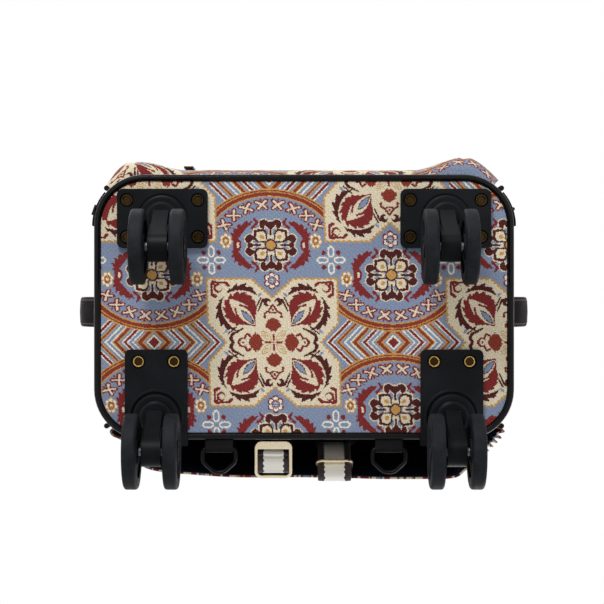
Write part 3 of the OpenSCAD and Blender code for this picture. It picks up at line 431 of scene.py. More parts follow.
def drawRosette(tree, cell, ground, rosette):
    # petals round a centre, each petal rounded and outlined
    petal = carpet["petal"]
    here = addNode(tree, "ShaderNodeVectorMath", [cell, rosette["place"]], operation="SUBTRACT")
    here = addNode(tree, "ShaderNodeVectorMath", [here, (rosette["narrow"], 1, 1)], operation="MULTIPLY")
    parts = addNode(tree, "ShaderNodeSeparateXYZ", [here]).node
    turn = addNode(tree, "ShaderNodeMath", [parts.outputs["X"], parts.outputs["Y"]], operation="ARCTAN2")
    turn = addNode(tree, "ShaderNodeMath", [turn, rosette["petals"] / 2], operation="MULTIPLY")
    wave = addNode(tree, "ShaderNodeMath", [turn], operation="COSINE")
    wave = addNode(tree, "ShaderNodeMath", [wave], operation="ABSOLUTE")
    lobe = addNode(tree, "ShaderNodeMath", [wave, petal["round"]], operation="POWER")
    reach = addNode(tree, "ShaderNodeMapRange",
                    [lobe, 0, 1, petal["waist"] * rosette["size"], rosette["size"]])
    away = addNode(tree, "ShaderNodeVectorMath", [here], operation="LENGTH")
    share = addNode(tree, "ShaderNodeMath", [away, reach], operation="DIVIDE")
    for level, name in rosette["rings"]:
        inside = addNode(tree, "ShaderNodeMath", [share, level], operation="LESS_THAN")
        ground = addNode(tree, "ShaderNodeMix", [inside, ground, srgb(yarn[name])], data_type="RGBA")
    # outline between two petals
    between = addNode(tree, "ShaderNodeMath", [wave, petal["gap"]], operation="LESS_THAN")
    outer = addNode(tree, "ShaderNodeMath", [share, petal["gapFrom"]], operation="GREATER_THAN")
    inner = addNode(tree, "ShaderNodeMath", [share, 1], operation="LESS_THAN")
    line = addNode(tree, "ShaderNodeMath", [between, outer], operation="MULTIPLY")
    line = addNode(tree, "ShaderNodeMath", [line, inner], operation="MULTIPLY")
    outline = srgb(yarn[rosette["rings"][0][1]])
    return addNode(tree, "ShaderNodeMix", [line, ground, outline], data_type="RGBA")


def makeCarpet():
    # colour of the ornament at a point of the cloth in millimetres
    tree = bpy.data.node_groups.new("carpetOrnament", "ShaderNodeTree")
    tree.interface.new_socket(name="Point", in_out="INPUT", socket_type="NodeSocketVector")
    tree.interface.new_socket(name="Color", in_out="OUTPUT", socket_type="NodeSocketColor")
    point = tree.nodes.new("NodeGroupInput").outputs["Point"]
    column, repeat = carpet["column"], carpet["repeat"]
    trim, crosses = carpet["edge"], carpet["crosses"]

    # fold the cloth into one quarter of its repeat, by its mirror lines
    snapped = addNode(tree, "ShaderNodeVectorMath", [point, (carpet["stitch"],) * 3], operation="SNAP")
    halves = addNode(tree, "ShaderNodeVectorMath",
                     [snapped, (column, repeat / 2, 1), (-column, -repeat / 2, -1)], operation="WRAP")
    folded = addNode(tree, "ShaderNodeVectorMath", [halves], operation="ABSOLUTE")
    folded = addNode(tree, "ShaderNodeSeparateXYZ", [folded]).node
    a, b = folded.outputs["X"], folded.outputs["Y"]

    # a point belongs to this column or, turned by half a turn, to the next one
    a2 = addNode(tree, "ShaderNodeMath", [column, a], operation="SUBTRACT")
    b2 = addNode(tree, "ShaderNodeMath", [repeat / 2, b], operation="SUBTRACT")
    near = addNode(tree, "ShaderNodeMath", [fieldEdge(tree, a, b), trim["gold"]], operation="LESS_THAN")
    far = addNode(tree, "ShaderNodeMath", [fieldEdge(tree, a2, b2), trim["gold"]], operation="GREATER_THAN")
    left = addNode(tree, "ShaderNodeMath", [a, column / 2], operation="LESS_THAN")
    steep = addNode(tree, "ShaderNodeMath", [b, a], operation="GREATER_THAN")
    here = addNode(tree, "ShaderNodeMath", [left, far], operation="MULTIPLY")
    here = addNode(tree, "ShaderNodeMath", [here, steep], operation="MULTIPLY")
    own = addNode(tree, "ShaderNodeMath", [near, here], operation="MAXIMUM")
    p = addNode(tree, "ShaderNodeMix", [own, a2, a], data_type="FLOAT")
    q = addNode(tree, "ShaderNodeMix", [own, b2, b], data_type="FLOAT")
    cell = addNode(tree, "ShaderNodeCombineXYZ", [p, q, 0])

    # medallion: blue ground and a border that runs round an oval
    rise = addNode(tree, "ShaderNodeMath", [q, carpet["medallion"]], operation="SUBTRACT")
    level = addNode(tree, "ShaderNodeMath", [rise], operation="ABSOLUTE")
    flat = addNode(tree, "ShaderNodeMath", [p, carpet["wide"]], operation="DIVIDE")
    oval = addNode(tree, "ShaderNodeCombineXYZ", [flat, rise, 0])
    away = addNode(tree, "ShaderNodeVectorMath", [oval], operation="LENGTH")
    above = addNode(tree, "ShaderNodeMath", [rise, 0], operation="GREATER_THAN")
    band = addStripes(tree, away, carpet["border"])
    colour = addNode(tree, "ShaderNodeMix", [above, srgb(yarn["blue"]), band], data_type="RGBA")

    # ring of crosses inside the border
    angle = addNode(tree, "ShaderNodeMath", [rise, flat], operation="ARCTAN2")
    angle = addNode(tree, "ShaderNodeMath", [angle, math.radians(90)], operation="SUBTRACT")
    step = math.radians(crosses["step"])
    turn = addNode(tree, "ShaderNodeMath", [angle, step], operation="PINGPONG")
    turn = addNode(tree, "ShaderNodeMath", [turn, step / 2], operation="SUBTRACT")
    along = addNode(tree, "ShaderNodeMath", [turn, crosses["along"]], operation="MULTIPLY")
    out = addNode(tree, "ShaderNodeMath", [away, crosses["radius"]], operation="SUBTRACT")
    out = addNode(tree, "ShaderNodeMath", [out, crosses["out"]], operation="MULTIPLY")
    cross = addNode(tree, "ShaderNodeCombineXYZ", [along, out, 0])
    cross = addNode(tree, "ShaderNodeVectorMath", [cross], operation="ABSOLUTE")
    dressed = drawMotif(tree, cross, colour, carpet["cross"])
    ring = addNode(tree, "ShaderNodeMath", [away, crosses["radius"], crosses["half"]], operation="COMPARE")
    wide = addNode(tree, "ShaderNodeMath", [angle, 0, step * crosses["each"]], operation="COMPARE")
    ring = addNode(tree, "ShaderNodeMath", [ring, wide], operation="MULTIPLY")
    ring = addNode(tree, "ShaderNodeMath", [ring, above], operation="MULTIPLY")
    colour = addNode(tree, "ShaderNodeMix", [ring, colour, dressed], data_type="RGBA")

    # wreath, flower, rosettes, and the white blossom where four fields meet
    narrow = addNode(tree, "ShaderNodeMath", [p, carpet["wreathWide"]], operation="DIVIDE")
    squeezed = addNode(tree, "ShaderNodeCombineXYZ", [narrow, level, 0])
    colour = drawMotif(tree, squeezed, colour, carpet["wreath"])
    quarter = addNode(tree, "ShaderNodeCombineXYZ", [p, level, 0])
    colour = drawMotif(tree, quarter, colour, carpet["flower"])
    for rosette in carpet["rosettes"]:
        colour = drawRosette(tree, cell, colour, rosette)
    meeting = addNode(tree, "ShaderNodeVectorMath", [cell, (column / 2, repeat / 4, 0)],
                      operation="SUBTRACT")
    meeting = addNode(tree, "ShaderNodeVectorMath", [meeting], operation="ABSOLUTE")
    colour = drawMotif(tree, meeting, colour, carpet["blossom"])

    # chevron band between two medallions
    down = addNode(tree, "ShaderNodeMath", [repeat / 2, q], operation="SUBTRACT")
    down = addNode(tree, "ShaderNodeMath", [down, p], operation="ADD")
    chevrons = addStripes(tree, down, carpet["chevron"])
    beyond = addNode(tree, "ShaderNodeMath", [away, carpet["rim"]], operation="GREATER_THAN")
    beyond = addNode(tree, "ShaderNodeMath", [beyond, above], operation="MULTIPLY")
    colour = addNode(tree, "ShaderNodeMix", [beyond, colour, chevrons], data_type="RGBA")

    # cream field with its gold edge, whipped with long stitches
    wave = addNode(tree, "ShaderNodeMath", [p, q], operation="ADD")
    wave = addNode(tree, "ShaderNodeMath", [wave, trim["beat"]], operation="MULTIPLY")
    wave = addNode(tree, "ShaderNodeMath", [wave], operation="SINE")
    edge = addNode(tree, "ShaderNodeMath", [wave, trim["stitch"], fieldEdge(tree, p, q)],
                   operation="MULTIPLY_ADD")
    border = addNode(tree, "ShaderNodeMath", [edge, trim["gold"]], operation="LESS_THAN")
    colour = addNode(tree, "ShaderNodeMix", [border, colour, srgb(yarn["gold"])], data_type="RGBA")
    petals = drawMotif(tree, cell, srgb(yarn["cream"]), carpet["quatrefoil"])
    inside = addNode(tree, "ShaderNodeMath", [edge, trim["cream"]], operation="LESS_THAN")
    colour = addNode(tree, "ShaderNodeMix", [inside, colour, petals], data_type="RGBA")
    addNode(tree, "NodeGroupOutput", [colour])
    return tree


carpetGroup = makeCarpet()


# weave: how far edges wander and how often, the stray gold stitches, and the ribs of the twill, in
# millimetres
weave = {"wander": 1.6, "wanderScale": 0.9, "strayScale": 1.1, "strayFrom": 0.66, "strayShare": 0.35,
         "rib": 1.7, "ribShade": (0.95, 1.03), "fleck": (0.66, 1.34)}


def makeTapestry(name, origin, fromMap):
    # jacquard tapestry: dry matt yarn, floats of gold, and a ribbed twill that catches raking light
    material = bpy.data.materials.new(name)
    material.use_nodes = True
    tree = material.node_tree
    shader = tree.nodes["Principled BSDF"]
    source = addNode(tree, "ShaderNodeTexCoord").node.outputs["UV" if fromMap else "Object"]
    scaled = addNode(tree, "ShaderNodeVectorMath", [source, 1000], operation="SCALE")
    moved = addNode(tree, "ShaderNodeVectorMath", [scaled, origin], operation="SUBTRACT")
    # the cloth was cut a little off its grain: rows stay level and columns lean
    parts = addNode(tree, "ShaderNodeSeparateXYZ", [moved]).node
    leant = addNode(tree, "ShaderNodeMath", [parts.outputs["Y"], -carpet["lean"], parts.outputs["X"]],
                    operation="MULTIPLY_ADD")
    turned = addNode(tree, "ShaderNodeCombineXYZ", [leant, parts.outputs["Y"], 0])
    # the loom's pull: edges wander by a stitch
    jitter = addNode(tree, "ShaderNodeTexNoise",
                     {"Vector": turned, "Scale": weave["wanderScale"], "Detail": 1.0}).node
    pull = addNode(tree, "ShaderNodeVectorMath", [jitter.outputs["Color"], (0.5, 0.5, 0.5)],
                   operation="SUBTRACT")
    pull = addNode(tree, "ShaderNodeVectorMath", [pull, (weave["wander"], weave["wander"], 0)],
                   operation="MULTIPLY")
    pulled = addNode(tree, "ShaderNodeVectorMath", [turned, pull], operation="ADD")
    colour = addNode(tree, "ShaderNodeGroup", [pulled], node_tree=carpetGroup)
    # single stitches of another yarn show through
    speck = addNode(tree, "ShaderNodeTexNoise",
                    {"Vector": turned, "Scale": weave["strayScale"], "Detail": 2.0, "Roughness": 0.8})
    gold = addNode(tree, "ShaderNodeMath", [speck, weave["strayFrom"]], operation="GREATER_THAN")
    gold = addNode(tree, "ShaderNodeMath", [gold, weave["strayShare"]], operation="MULTIPLY")
    colour = addNode(tree, "ShaderNodeMix", [gold, colour, srgb(yarn["gold"])], data_type="RGBA")
    # twill: ribs drawn about three threads wide, so that they show
    slant = addNode(tree, "ShaderNodeMath", [leant, parts.outputs["Y"]], operation="SUBTRACT")
    rib = addNode(tree, "ShaderNodeMath", [slant, weave["rib"]], operation="PINGPONG")
    grain = addNode(tree, "ShaderNodeTexNoise",
                    {"Vector": turned, "Scale": weave["strayScale"], "Detail": 2.0})
    shade = addNode(tree, "ShaderNodeMapRange", [rib, 0, weave["rib"], *weave["ribShade"]])
    fleck = addNode(tree, "ShaderNodeMapRange", [grain, 0.25, 0.75, *weave["fleck"]])
    shade = addNode(tree, "ShaderNodeMath", [shade, fleck], operation="MULTIPLY")
    colour = addNode(tree, "ShaderNodeMix", [1, colour, shade], data_type="RGBA", blend_type="MULTIPLY")
    tree.links.new(colour, shader.inputs["Base Color"])
    height = addNode(tree, "ShaderNodeMath", [rib, grain], operation="MULTIPLY")
    bump = addNode(tree, "ShaderNodeBump", {"Strength": 0.35, "Distance": 0.0004, "Height": height})
    tree.links.new(bump, shader.inputs["Normal"])
    shader.inputs["Roughness"].default_value = 0.85
    shader.inputs["Specular IOR Level"].default_value = 0.2
    shader.inputs["Sheen Weight"].default_value = 0.15
    shader.inputs["Sheen Roughness"].default_value = 0.4
    return material


# the bottom panel's middle field, in millimetres from the panel's middle
fieldMiddle = (-22.5, 25.7)
fieldPlace = (fieldMiddle[0], fieldMiddle[1] + panelMiddle.y * 1000, 0)
tapestryBase = makeTapestry("jacquardTapestryBase", fieldPlace, False)
tapestry = makeTapestry("jacquardTapestry", (0, 0, 0), True)
print("tapestry ready")

# plastics, rubber and metals of the parts that keep their modelled shape
wearSpan = (0.3, 0.7)  # the middle of a noise, where nearly all its values lie


def newMaterial(name, colour, roughness, metallic=0.0):
    material = bpy.data.materials.new(name)
    material.use_nodes = True
    shader = material.node_tree.nodes["Principled BSDF"]
    shader.inputs["Base Color"].default_value = srgb(colour)
    shader.inputs["Roughness"].default_value = roughness
    shader.inputs["Metallic"].default_value = metallic
    return material, material.node_tree, shader, addNode(material.node_tree, "ShaderNodeTexCoord").node


def makeSurface(name, tones, cloud, shine, span=(0, 1), relief=None, grain=None, stretch=1, metallic=0,
                optics=()):
    # two tones clouded by one noise, which wears the shine too, over a fine relief: of a grain of its own
    # if there is one, and otherwise of the same noise
    material, tree, shader, source = newMaterial(name, tones[1], shine[0], metallic)
    place = source.outputs["Object"]
    drawn = addNode(tree, "ShaderNodeMapping", {"Vector": place, "Scale": (1, 1, stretch)})
    patches = addNode(tree, "ShaderNodeTexNoise",
                      {"Vector": drawn, "Scale": cloud[0], "Detail": cloud[1], "Roughness": cloud[2]})
    tone = addNode(tree, "ShaderNodeMapRange", [patches, *span, 0, 1])
    colour = addNode(tree, "ShaderNodeMix", [tone, srgb(tones[0]), srgb(tones[1])], data_type="RGBA")
    tree.links.new(colour, shader.inputs["Base Color"])
    worn = addNode(tree, "ShaderNodeMapRange", [patches, *wearSpan, *shine])
    tree.links.new(worn, shader.inputs["Roughness"])
    if relief:
        height = patches
        if grain:
            height = addNode(tree, "ShaderNodeTex" + grain[0],
                             {"Vector": place, "Scale": grain[1], "Detail": grain[2]})
        bump = addNode(tree, "ShaderNodeBump",
                       {"Strength": relief[0], "Distance": relief[1], "Height": height})
        tree.links.new(bump, shader.inputs["Normal"])
    for socket, value in optics:
        shader.inputs[socket].default_value = value
    return material


# injection-moulded ABS, spark-eroded grain about 0.6 mm: a soft grey bloom with scuffed sheen
casterPlastic = makeSurface("mouldedAbsCaster", ("#0d0e11", "#15171a"), (38, 3, 0.5), (0.36, 0.5), wearSpan,
                            relief=(0.25, 0.00015), grain=("Noise", 1700, 2),
                            optics=[("IOR", 1.53), ("Specular IOR Level", 0.07)])

# thermoplastic rubber tyre: matt, dusty, with rolling scuffs round the tread
wheelRubber = makeSurface("thermoplasticRubber", ("#131518", "#1f2125"), (90, 4, 0.65), (0.52, 0.72),
                          (0.35, 0.7), relief=(0.3, 0.0002), grain=("Noise", 1500, 1),
                          optics=[("Specular IOR Level", 0.1)])

# plated brass, tumbled bright: warm gold that darkens to brown where polish doesn't reach
brass = makeSurface("platedBrass", ("#d3aa58", "#a87c3a"), (420, 3, 0.5), (0.16, 0.34), (0.4, 0.7),
                    metallic=1)

# zinc-plated steel, turned: pale grey with fine rings and a blurred shine
steel = makeSurface("zincPlatedSteel", ("#8f9194", "#bcbec0"), (700, 2, 0.5), (0.28, 0.45), metallic=1)

# drawn and anodised aluminium: satin silver with fine lines along the draw, stretched 60 to 1
tubeAluminium = makeSurface("anodisedAluminium", ("#a3a5a8", "#c4c6c9"), (2200, 2, 0.5), (0.24, 0.44),
                            relief=(0.1, 0.0001), stretch=0.016, metallic=1)

# glass-filled nylon, moulded with a leather-fine texture of 0.9 mm: black, quietly satin
handlePlastic = makeSurface("texturedNylon", ("#131416", "#1e2023"), (45, 2, 0.5), (0.4, 0.58),
                            relief=(0.3, 0.00025), grain=("Voronoi", 1100, 0),
                            optics=[("Specular IOR Level", 0.25)])

# calendered vinyl over cord: glossy black with long soft highlights, slightly rippled by the sewing
pipingVinyl = makeSurface("vinylPiping", ("#080708", "#100e0f"), (170, 2, 0.5), (0.09, 0.17),
                          relief=(0.35, 0.0006), optics=[("IOR", 1.53), ("Specular IOR Level", 0.14)])

# moulded acetal ring: black and smooth, with a waxy highlight and a faint flow mark
ringPlastic = makeSurface("acetalRing", ("#060607", "#0b0b0d"), (240, 2, 0.5), (0.26, 0.42),
                          optics=[("Specular IOR Level", 0.1)])

# zinc casting with a champagne-gold plating: pale, soft-edged reflections
buckleMetal = makeSurface("champagneGoldPlating", ("#e6d6b4", "#f2e6cb"), (260, 2, 0.5), (0.2, 0.36),
                          metallic=1)

# where the dished middle of a rivet begins, above its lowest rim; the rim tones are painted light behind and
# painted shade in front
rivet = {"rim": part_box("caster_rivets")[0].z, "dish": (0.0003, 0.0008), "dishTone": "#3a2c18",
         "behind": ("#f2cf7e", "#c99e54"), "front": ("#5d4b2a", "#3c2f19")}


def makeAntiqueBrassAndPaintedLight():
    # antiqued brass, rubbed bright on the rims and dark bronze in the dished middles; rims behind are
    # painted brighter (painted light) and rims on the front casters darker (painted shade)
    material, tree, shader, source = newMaterial("antiquedBrassAndPaintedLight", "#c9a050", 0.28, 1)
    place = source.outputs["Object"]
    parts = addNode(tree, "ShaderNodeSeparateXYZ", [place]).node
    patina = addNode(tree, "ShaderNodeTexNoise", {"Vector": place, "Scale": 500.0, "Detail": 3.0})
    start, end = (rivet["rim"] + step for step in rivet["dish"])
    sunk = addNode(tree, "ShaderNodeMapRange", [parts.outputs["Z"], start, end, 0, 1])
    # rims behind take the bright tones as painted light, front rims take the dark tones as painted shade
    behind = addNode(tree, "ShaderNodeMath", [parts.outputs["Y"], 0], operation="GREATER_THAN")
    bright, dim = (addNode(tree, "ShaderNodeMix", [patina, *map(srgb, rivet[which])], data_type="RGBA")
                   for which in ("behind", "front"))
    rim = addNode(tree, "ShaderNodeMix", [behind, dim, bright], data_type="RGBA")
    colour = addNode(tree, "ShaderNodeMix", [sunk, rim, srgb(rivet["dishTone"])], data_type="RGBA")
    tree.links.new(colour, shader.inputs["Base Color"])
    worn = addNode(tree, "ShaderNodeMapRange", [patina, *wearSpan, 0.16, 0.34])
    tree.links.new(worn, shader.inputs["Roughness"])
    return material


def makeWoven(name, dark, pale, thread):
    # woven polyester in two tones of yarn: over-and-under grid, dull with a slight sheen
    material, tree, shader, source = newMaterial(name, dark, 0.75)
    scaled = addNode(tree, "ShaderNodeVectorMath", [source.outputs["Object"], math.pi / thread],
                     operation="SCALE")
    parts = addNode(tree, "ShaderNodeSeparateXYZ", [scaled]).node
    across = addNode(tree, "ShaderNodeMath", [parts.outputs["X"], parts.outputs["Y"]], operation="ADD")
    warp = addNode(tree, "ShaderNodeMath", [across], operation="SINE")
    weft = addNode(tree, "ShaderNodeMath", [parts.outputs["Z"]], operation="SINE")
    over = addNode(tree, "ShaderNodeMath", [warp, weft], operation="MULTIPLY")
    tone = addNode(tree, "ShaderNodeMapRange", [over, -1, 1, 0, 1])
    colour = addNode(tree, "ShaderNodeMix", [tone, srgb(dark), srgb(pale)], data_type="RGBA")
    tree.links.new(colour, shader.inputs["Base Color"])
    bump = addNode(tree, "ShaderNodeBump", {"Strength": 0.5, "Distance": 0.0003, "Height": over})
    tree.links.new(bump, shader.inputs["Normal"])
    shader.inputs["Specular IOR Level"].default_value = 0.1
    return material


# leatherette: pebbles per metre, and its stitches: from the middle line, half width, step, stitched share
leather = {"pebbles": 820, "stitchAt": 0.0099, "stitchHalf": 0.00055, "stitchStep": 0.004,
           "stitchShare": 0.8}


def makeLeatherette():
    # embossed PU leather: espresso brown, pebbled at about 1.2 mm, with a stitch line near each edge
    material, tree, shader, source = newMaterial("embossedLeatherette", "#171112", 0.45)
    place = source.outputs["Object"]
    pebble = addNode(tree, "ShaderNodeTexVoronoi", {"Vector": place, "Scale": leather["pebbles"]},
                     feature="SMOOTH_F1")
    worn = addNode(tree, "ShaderNodeTexNoise", {"Vector": place, "Scale": 60.0, "Detail": 3.0})
    colour = addNode(tree, "ShaderNodeMix", [worn, srgb("#0c0809"), srgb("#171112")], data_type="RGBA")
    # UV in metres: x along the strap, y from its middle line
    parts = addNode(tree, "ShaderNodeSeparateXYZ", [source.outputs["UV"]]).node
    side = addNode(tree, "ShaderNodeMath", [parts.outputs["Y"]], operation="ABSOLUTE")
    line = addNode(tree, "ShaderNodeMath", [side, leather["stitchAt"], leather["stitchHalf"]],
                   operation="COMPARE")
    beat = addNode(tree, "ShaderNodeMath", [parts.outputs["X"], 1 / leather["stitchStep"]],
                   operation="MULTIPLY")
    beat = addNode(tree, "ShaderNodeMath", [beat], operation="FRACT")
    beat = addNode(tree, "ShaderNodeMath", [beat, leather["stitchShare"]], operation="LESS_THAN")
    stitch = addNode(tree, "ShaderNodeMath", [line, beat], operation="MULTIPLY")
    colour = addNode(tree, "ShaderNodeMix", [stitch, colour, srgb("#5b4a48")], data_type="RGBA")
    tree.links.new(colour, shader.inputs["Base Color"])
    raised = addNode(tree, "ShaderNodeMath", [stitch, 2, pebble], operation="MULTIPLY_ADD")
    bump = addNode(tree, "ShaderNodeBump", {"Strength": 0.5, "Distance": 0.0003, "Height": raised})
    tree.links.new(bump, shader.inputs["Normal"])
    shine = addNode(tree, "ShaderNodeMapRange", [worn, *wearSpan, 0.45, 0.62])
    tree.links.new(shine, shader.inputs["Roughness"])
    shader.inputs["Specular IOR Level"].default_value = 0.03
    return material


# webbing: scallops between its middle and its bands, where its edges begin, and its ribs, in metres;
# the ribs are drawn at twice the real thread, so that they show
stripe = {"scallop": 0.004, "scallopDepth": 0.0011, "middle": 0.0068, "edge": 0.0112, "rib": 0.0011}


def makeWebbingStripe():
    # woven polypropylene webbing: cream centre with scalloped edges between espresso bands
    material, tree, shader, source = newMaterial("stripedWebbing", "#cfc9ba", 0.6)
    parts = addNode(tree, "ShaderNodeSeparateXYZ", [source.outputs["UV"]]).node
    side = addNode(tree, "ShaderNodeMath", [parts.outputs["Y"]], operation="ABSOLUTE")
    wave = addNode(tree, "ShaderNodeMath", [parts.outputs["X"], math.pi / stripe["scallop"]],
                   operation="MULTIPLY")
    wave = addNode(tree, "ShaderNodeMath", [wave], operation="SINE")
    wave = addNode(tree, "ShaderNodeMath", [wave], operation="ABSOLUTE")
    reach = addNode(tree, "ShaderNodeMath", [wave, stripe["scallopDepth"], stripe["middle"]],
                    operation="MULTIPLY_ADD")
    inside = addNode(tree, "ShaderNodeMath", [side, reach], operation="LESS_THAN")
    edge = addNode(tree, "ShaderNodeMath", [side, stripe["edge"]], operation="GREATER_THAN")
    rib = addNode(tree, "ShaderNodeMath", [parts.outputs["X"], 2 * math.pi / stripe["rib"]],
                  operation="MULTIPLY")
    rib = addNode(tree, "ShaderNodeMath", [rib], operation="SINE")
    shade = addNode(tree, "ShaderNodeMapRange", [rib, -1, 1, 0.95, 1.04])
    band = addNode(tree, "ShaderNodeMix", [edge, srgb("#21151a"), srgb("#3a2227")], data_type="RGBA")
    colour = addNode(tree, "ShaderNodeMix", [inside, band, srgb("#f4f1e8")], data_type="RGBA")
    colour = addNode(tree, "ShaderNodeMix", [1, colour, shade], data_type="RGBA", blend_type="MULTIPLY")
    tree.links.new(colour, shader.inputs["Base Color"])
    bump = addNode(tree, "ShaderNodeBump", {"Strength": 0.25, "Distance": 0.0002, "Height": rib})
    tree.links.new(bump, shader.inputs["Normal"])
    shader.inputs["Sheen Weight"].default_value = 0.1
    return material


coilTurn = 0.0013


def makeZipCoil():
    # woven-in polyester spiral: black monofilament whose turns lie 1.3 mm apart; the paler tone on each turn
    # is a painted highlight
    material, tree, shader, source = newMaterial("spiralZipCoil", "#141416", 0.35)
    parts = addNode(tree, "ShaderNodeSeparateXYZ", [source.outputs["Object"]]).node
    way = addNode(tree, "ShaderNodeMath", [parts.outputs["X"], parts.outputs["Z"]], operation="ADD")
    turn = addNode(tree, "ShaderNodeMath", [way, 2 * math.pi / coilTurn], operation="MULTIPLY")
    turn = addNode(tree, "ShaderNodeMath", [turn], operation="SINE")
    tone = addNode(tree, "ShaderNodeMapRange", [turn, -1, 1, 0, 1])
    # paler along the crest of each turn: painted highlight
    colour = addNode(tree, "ShaderNodeMix", [tone, srgb("#0b0b0c"), srgb("#2a2a2d")], data_type="RGBA")
    tree.links.new(colour, shader.inputs["Base Color"])
    bump = addNode(tree, "ShaderNodeBump", {"Strength": 0.8, "Distance": 0.0006, "Height": turn})
    tree.links.new(bump, shader.inputs["Normal"])
    return material


antiqueBrassAndPaintedLight = makeAntiqueBrassAndPaintedLight()
lining = makeWoven("navyTaffetaLining", "#252d45", "#333d5c", 0.0009)
padMesh = makeWoven("spacerMesh", "#111214", "#24262a", 0.0022)
tapeWeave = makeWoven("herringboneTape", "#070708", "#101013", 0.0011)
leatherette = makeLeatherette()
webbingStripe = makeWebbingStripe()
zipCoil = makeZipCoil()

finishes = {"tray": handlePlastic, "brass": brass, "steel": steel, "zip_tape": tapeWeave, "pad": padMesh,
            "leatherette": leatherette, "webbing": webbingStripe, "tab_webbing": tapeWeave,
            "ring_plastic": ringPlastic, "handle_plastic": handlePlastic, "tube": tubeAluminium,
            "caster_plastic": casterPlastic, "wheel": wheelRubber, "piping": pipingVinyl,
            "tapestry": tapestryBase}
for part in frame["record"]["subparts"]:
    mesh = nodes[part["node"]].data
    mesh.materials.clear()
    # rivets, zip sliders and pulls take the antiqued brass; on the front ones its darker rim tones are
    # painted shade
    agedAndPaintedLight = part["node"] == "caster_rivets" or part["node"].endswith(("zip_slider", "zip_pull"))
    mesh.materials.append(antiqueBrassAndPaintedLight if agedAndPaintedLight else finishes[part["material_slot"]])
print("modelled parts finished")

# helpers for cloth, straps and cords of piping


def settle(piece, body, replaced):
    bpy.context.scene.collection.objects.link(piece)
    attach(piece, body)
    if replaced:
        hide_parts(*replaced)
    return piece


def addPiece(name, bm, materials, body, replaced=()):
    mesh = bpy.data.meshes.new(name)
    bm.to_mesh(mesh)
    bm.free()
    mesh.polygons.foreach_set("use_smooth", [True] * len(mesh.polygons))
    for material in materials:
        mesh.materials.append(material)
    return settle(bpy.data.objects.new(name, mesh), body, replaced)


def layGrid(columns, rows, place, flat):
    # a grid whose vertices go to place(u, v), with UV in metres from flat(u, v)
    bm = bmesh.new()
    uvMap = bm.loops.layers.uv.new("cloth")
    bmesh.ops.create_grid(bm, x_segments=columns, y_segments=rows, size=1)
    share = {vert: ((vert.co.x + 1) / 2, (vert.co.y + 1) / 2) for vert in bm.verts}
    for face in bm.faces:
        for loop in face.loops:
            loop[uvMap].uv = flat(*share[loop.vert])
    for vert, (u, v) in share.items():
        vert.co = place(u, v)
    bmesh.ops.recalc_face_normals(bm, faces=bm.faces)
    return bm


def closeSkin(bm):
    bmesh.ops.remove_doubles(bm, verts=bm.verts, dist=1e-6)
    bmesh.ops.holes_fill(bm, edges=[e for e in bm.edges if e.is_boundary], sides=0)
    bmesh.ops.recalc_face_normals(bm, faces=bm.faces)


def addBead(name, points, radius, closed, body, material, replaced=()):
    # a round cord through the points, with flat ends
    curve = bpy.data.curves.new(name, "CURVE")
    curve.dimensions = "3D"
    curve.bevel_depth = radius
    curve.bevel_resolution = 5
    curve.use_fill_caps = True
    spline = curve.splines.new("POLY")
    spline.points.add(len(points) - 1)
    for point, place in zip(spline.points, points):
        point.co = (*place, 1)
    spline.use_cyclic_u = closed
    spline.use_smooth = True
    curve.materials.append(material)
    return settle(bpy.data.objects.new(name, curve), body, replaced)


def ease(value, low, high):
    t = min(1, max(0, (value - low) / (high - low)))
    return t * t * (3 - 2 * t)


def squared(wave, power):
    # a sine or cosine drawn out towards a square wave
    return math.copysign(abs(wave) ** power, wave)


def runLengths(path):
    lengths = [0]
    for start, end in zip(path, path[1:]):
        lengths.append(lengths[-1] + (end - start).length)
    return lengths


def smoothPath(points, steps):
    # Catmull-Rom curve through the points
    last = len(points) - 1
    points = [Vector(p) for p in points]
    path = []
    for i in range(last):
        a, b, c, d = points[max(i - 1, 0)], points[i], points[i + 1], points[min(i + 2, last)]
        for j in range(steps):
            t = j / steps
            path.append(b + 0.5 * t * (c - a + t * (2 * a - 5 * b + 4 * c - d + t * (3 * (b - c) + d - a))))
    return path + [points[last]]


# the body's own sizes, in metres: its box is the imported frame's
shellLow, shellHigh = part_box("body_shell")
pipeLow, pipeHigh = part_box("base_piping")
pocketLow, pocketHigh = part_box("front_pocket")
coverLow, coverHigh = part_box("back_cover")
middle = Vector((0, panelMiddle.y, 0))
body = {"halfW": shellHigh.x, "halfD": (shellHigh.y - shellLow.y) / 2, "corner": 0.037, "topCorner": 0.014,
        "topRoll": 0.02, "low": shellLow.z, "high": shellHigh.z, "rimInset": 0.0015, "rimRun": 0.008,
        "wrinkle": 0.0012, "pinned": 0.03, "belly": 0.003, "bellyLow": 0.035, "bellyTop": 0.13,
        "zipY": 0.068, "zipFlat": (0.018, 0.034)}
rest = 0.0005  # cloth lies this far off what carries it
clothShift = 0.035  # the pattern on body and pocket stands this far to the left


def fallBack(c, r):
    # how far a round corner of radius r falls back, at c from its end
    return r - math.sqrt(max(r * r - (r - c) ** 2, 0)) if c < r else 0


def wallY(x):
    # the body's half depth at x, less where its corners turn
    return body["halfD"] - fallBack(max(body["halfW"] - abs(x), 0), body["corner"])


def rounded(halfX, halfY, radius, z, steps=14):
    # a rectangle with round corners, about the bag's middle line
    points = []
    for quarter in range(4):
        for i in range(steps + 1):
            angle = math.radians(90 * quarter + 90 * i / steps)
            cx = (halfX - radius) * (1 if quarter in (0, 3) else -1)
            cy = (halfY - radius) * (1 if quarter < 2 else -1)
            place = Vector((cx + radius * math.cos(angle), cy + radius * math.sin(angle), z))
            points.append(middle + place)
    return points


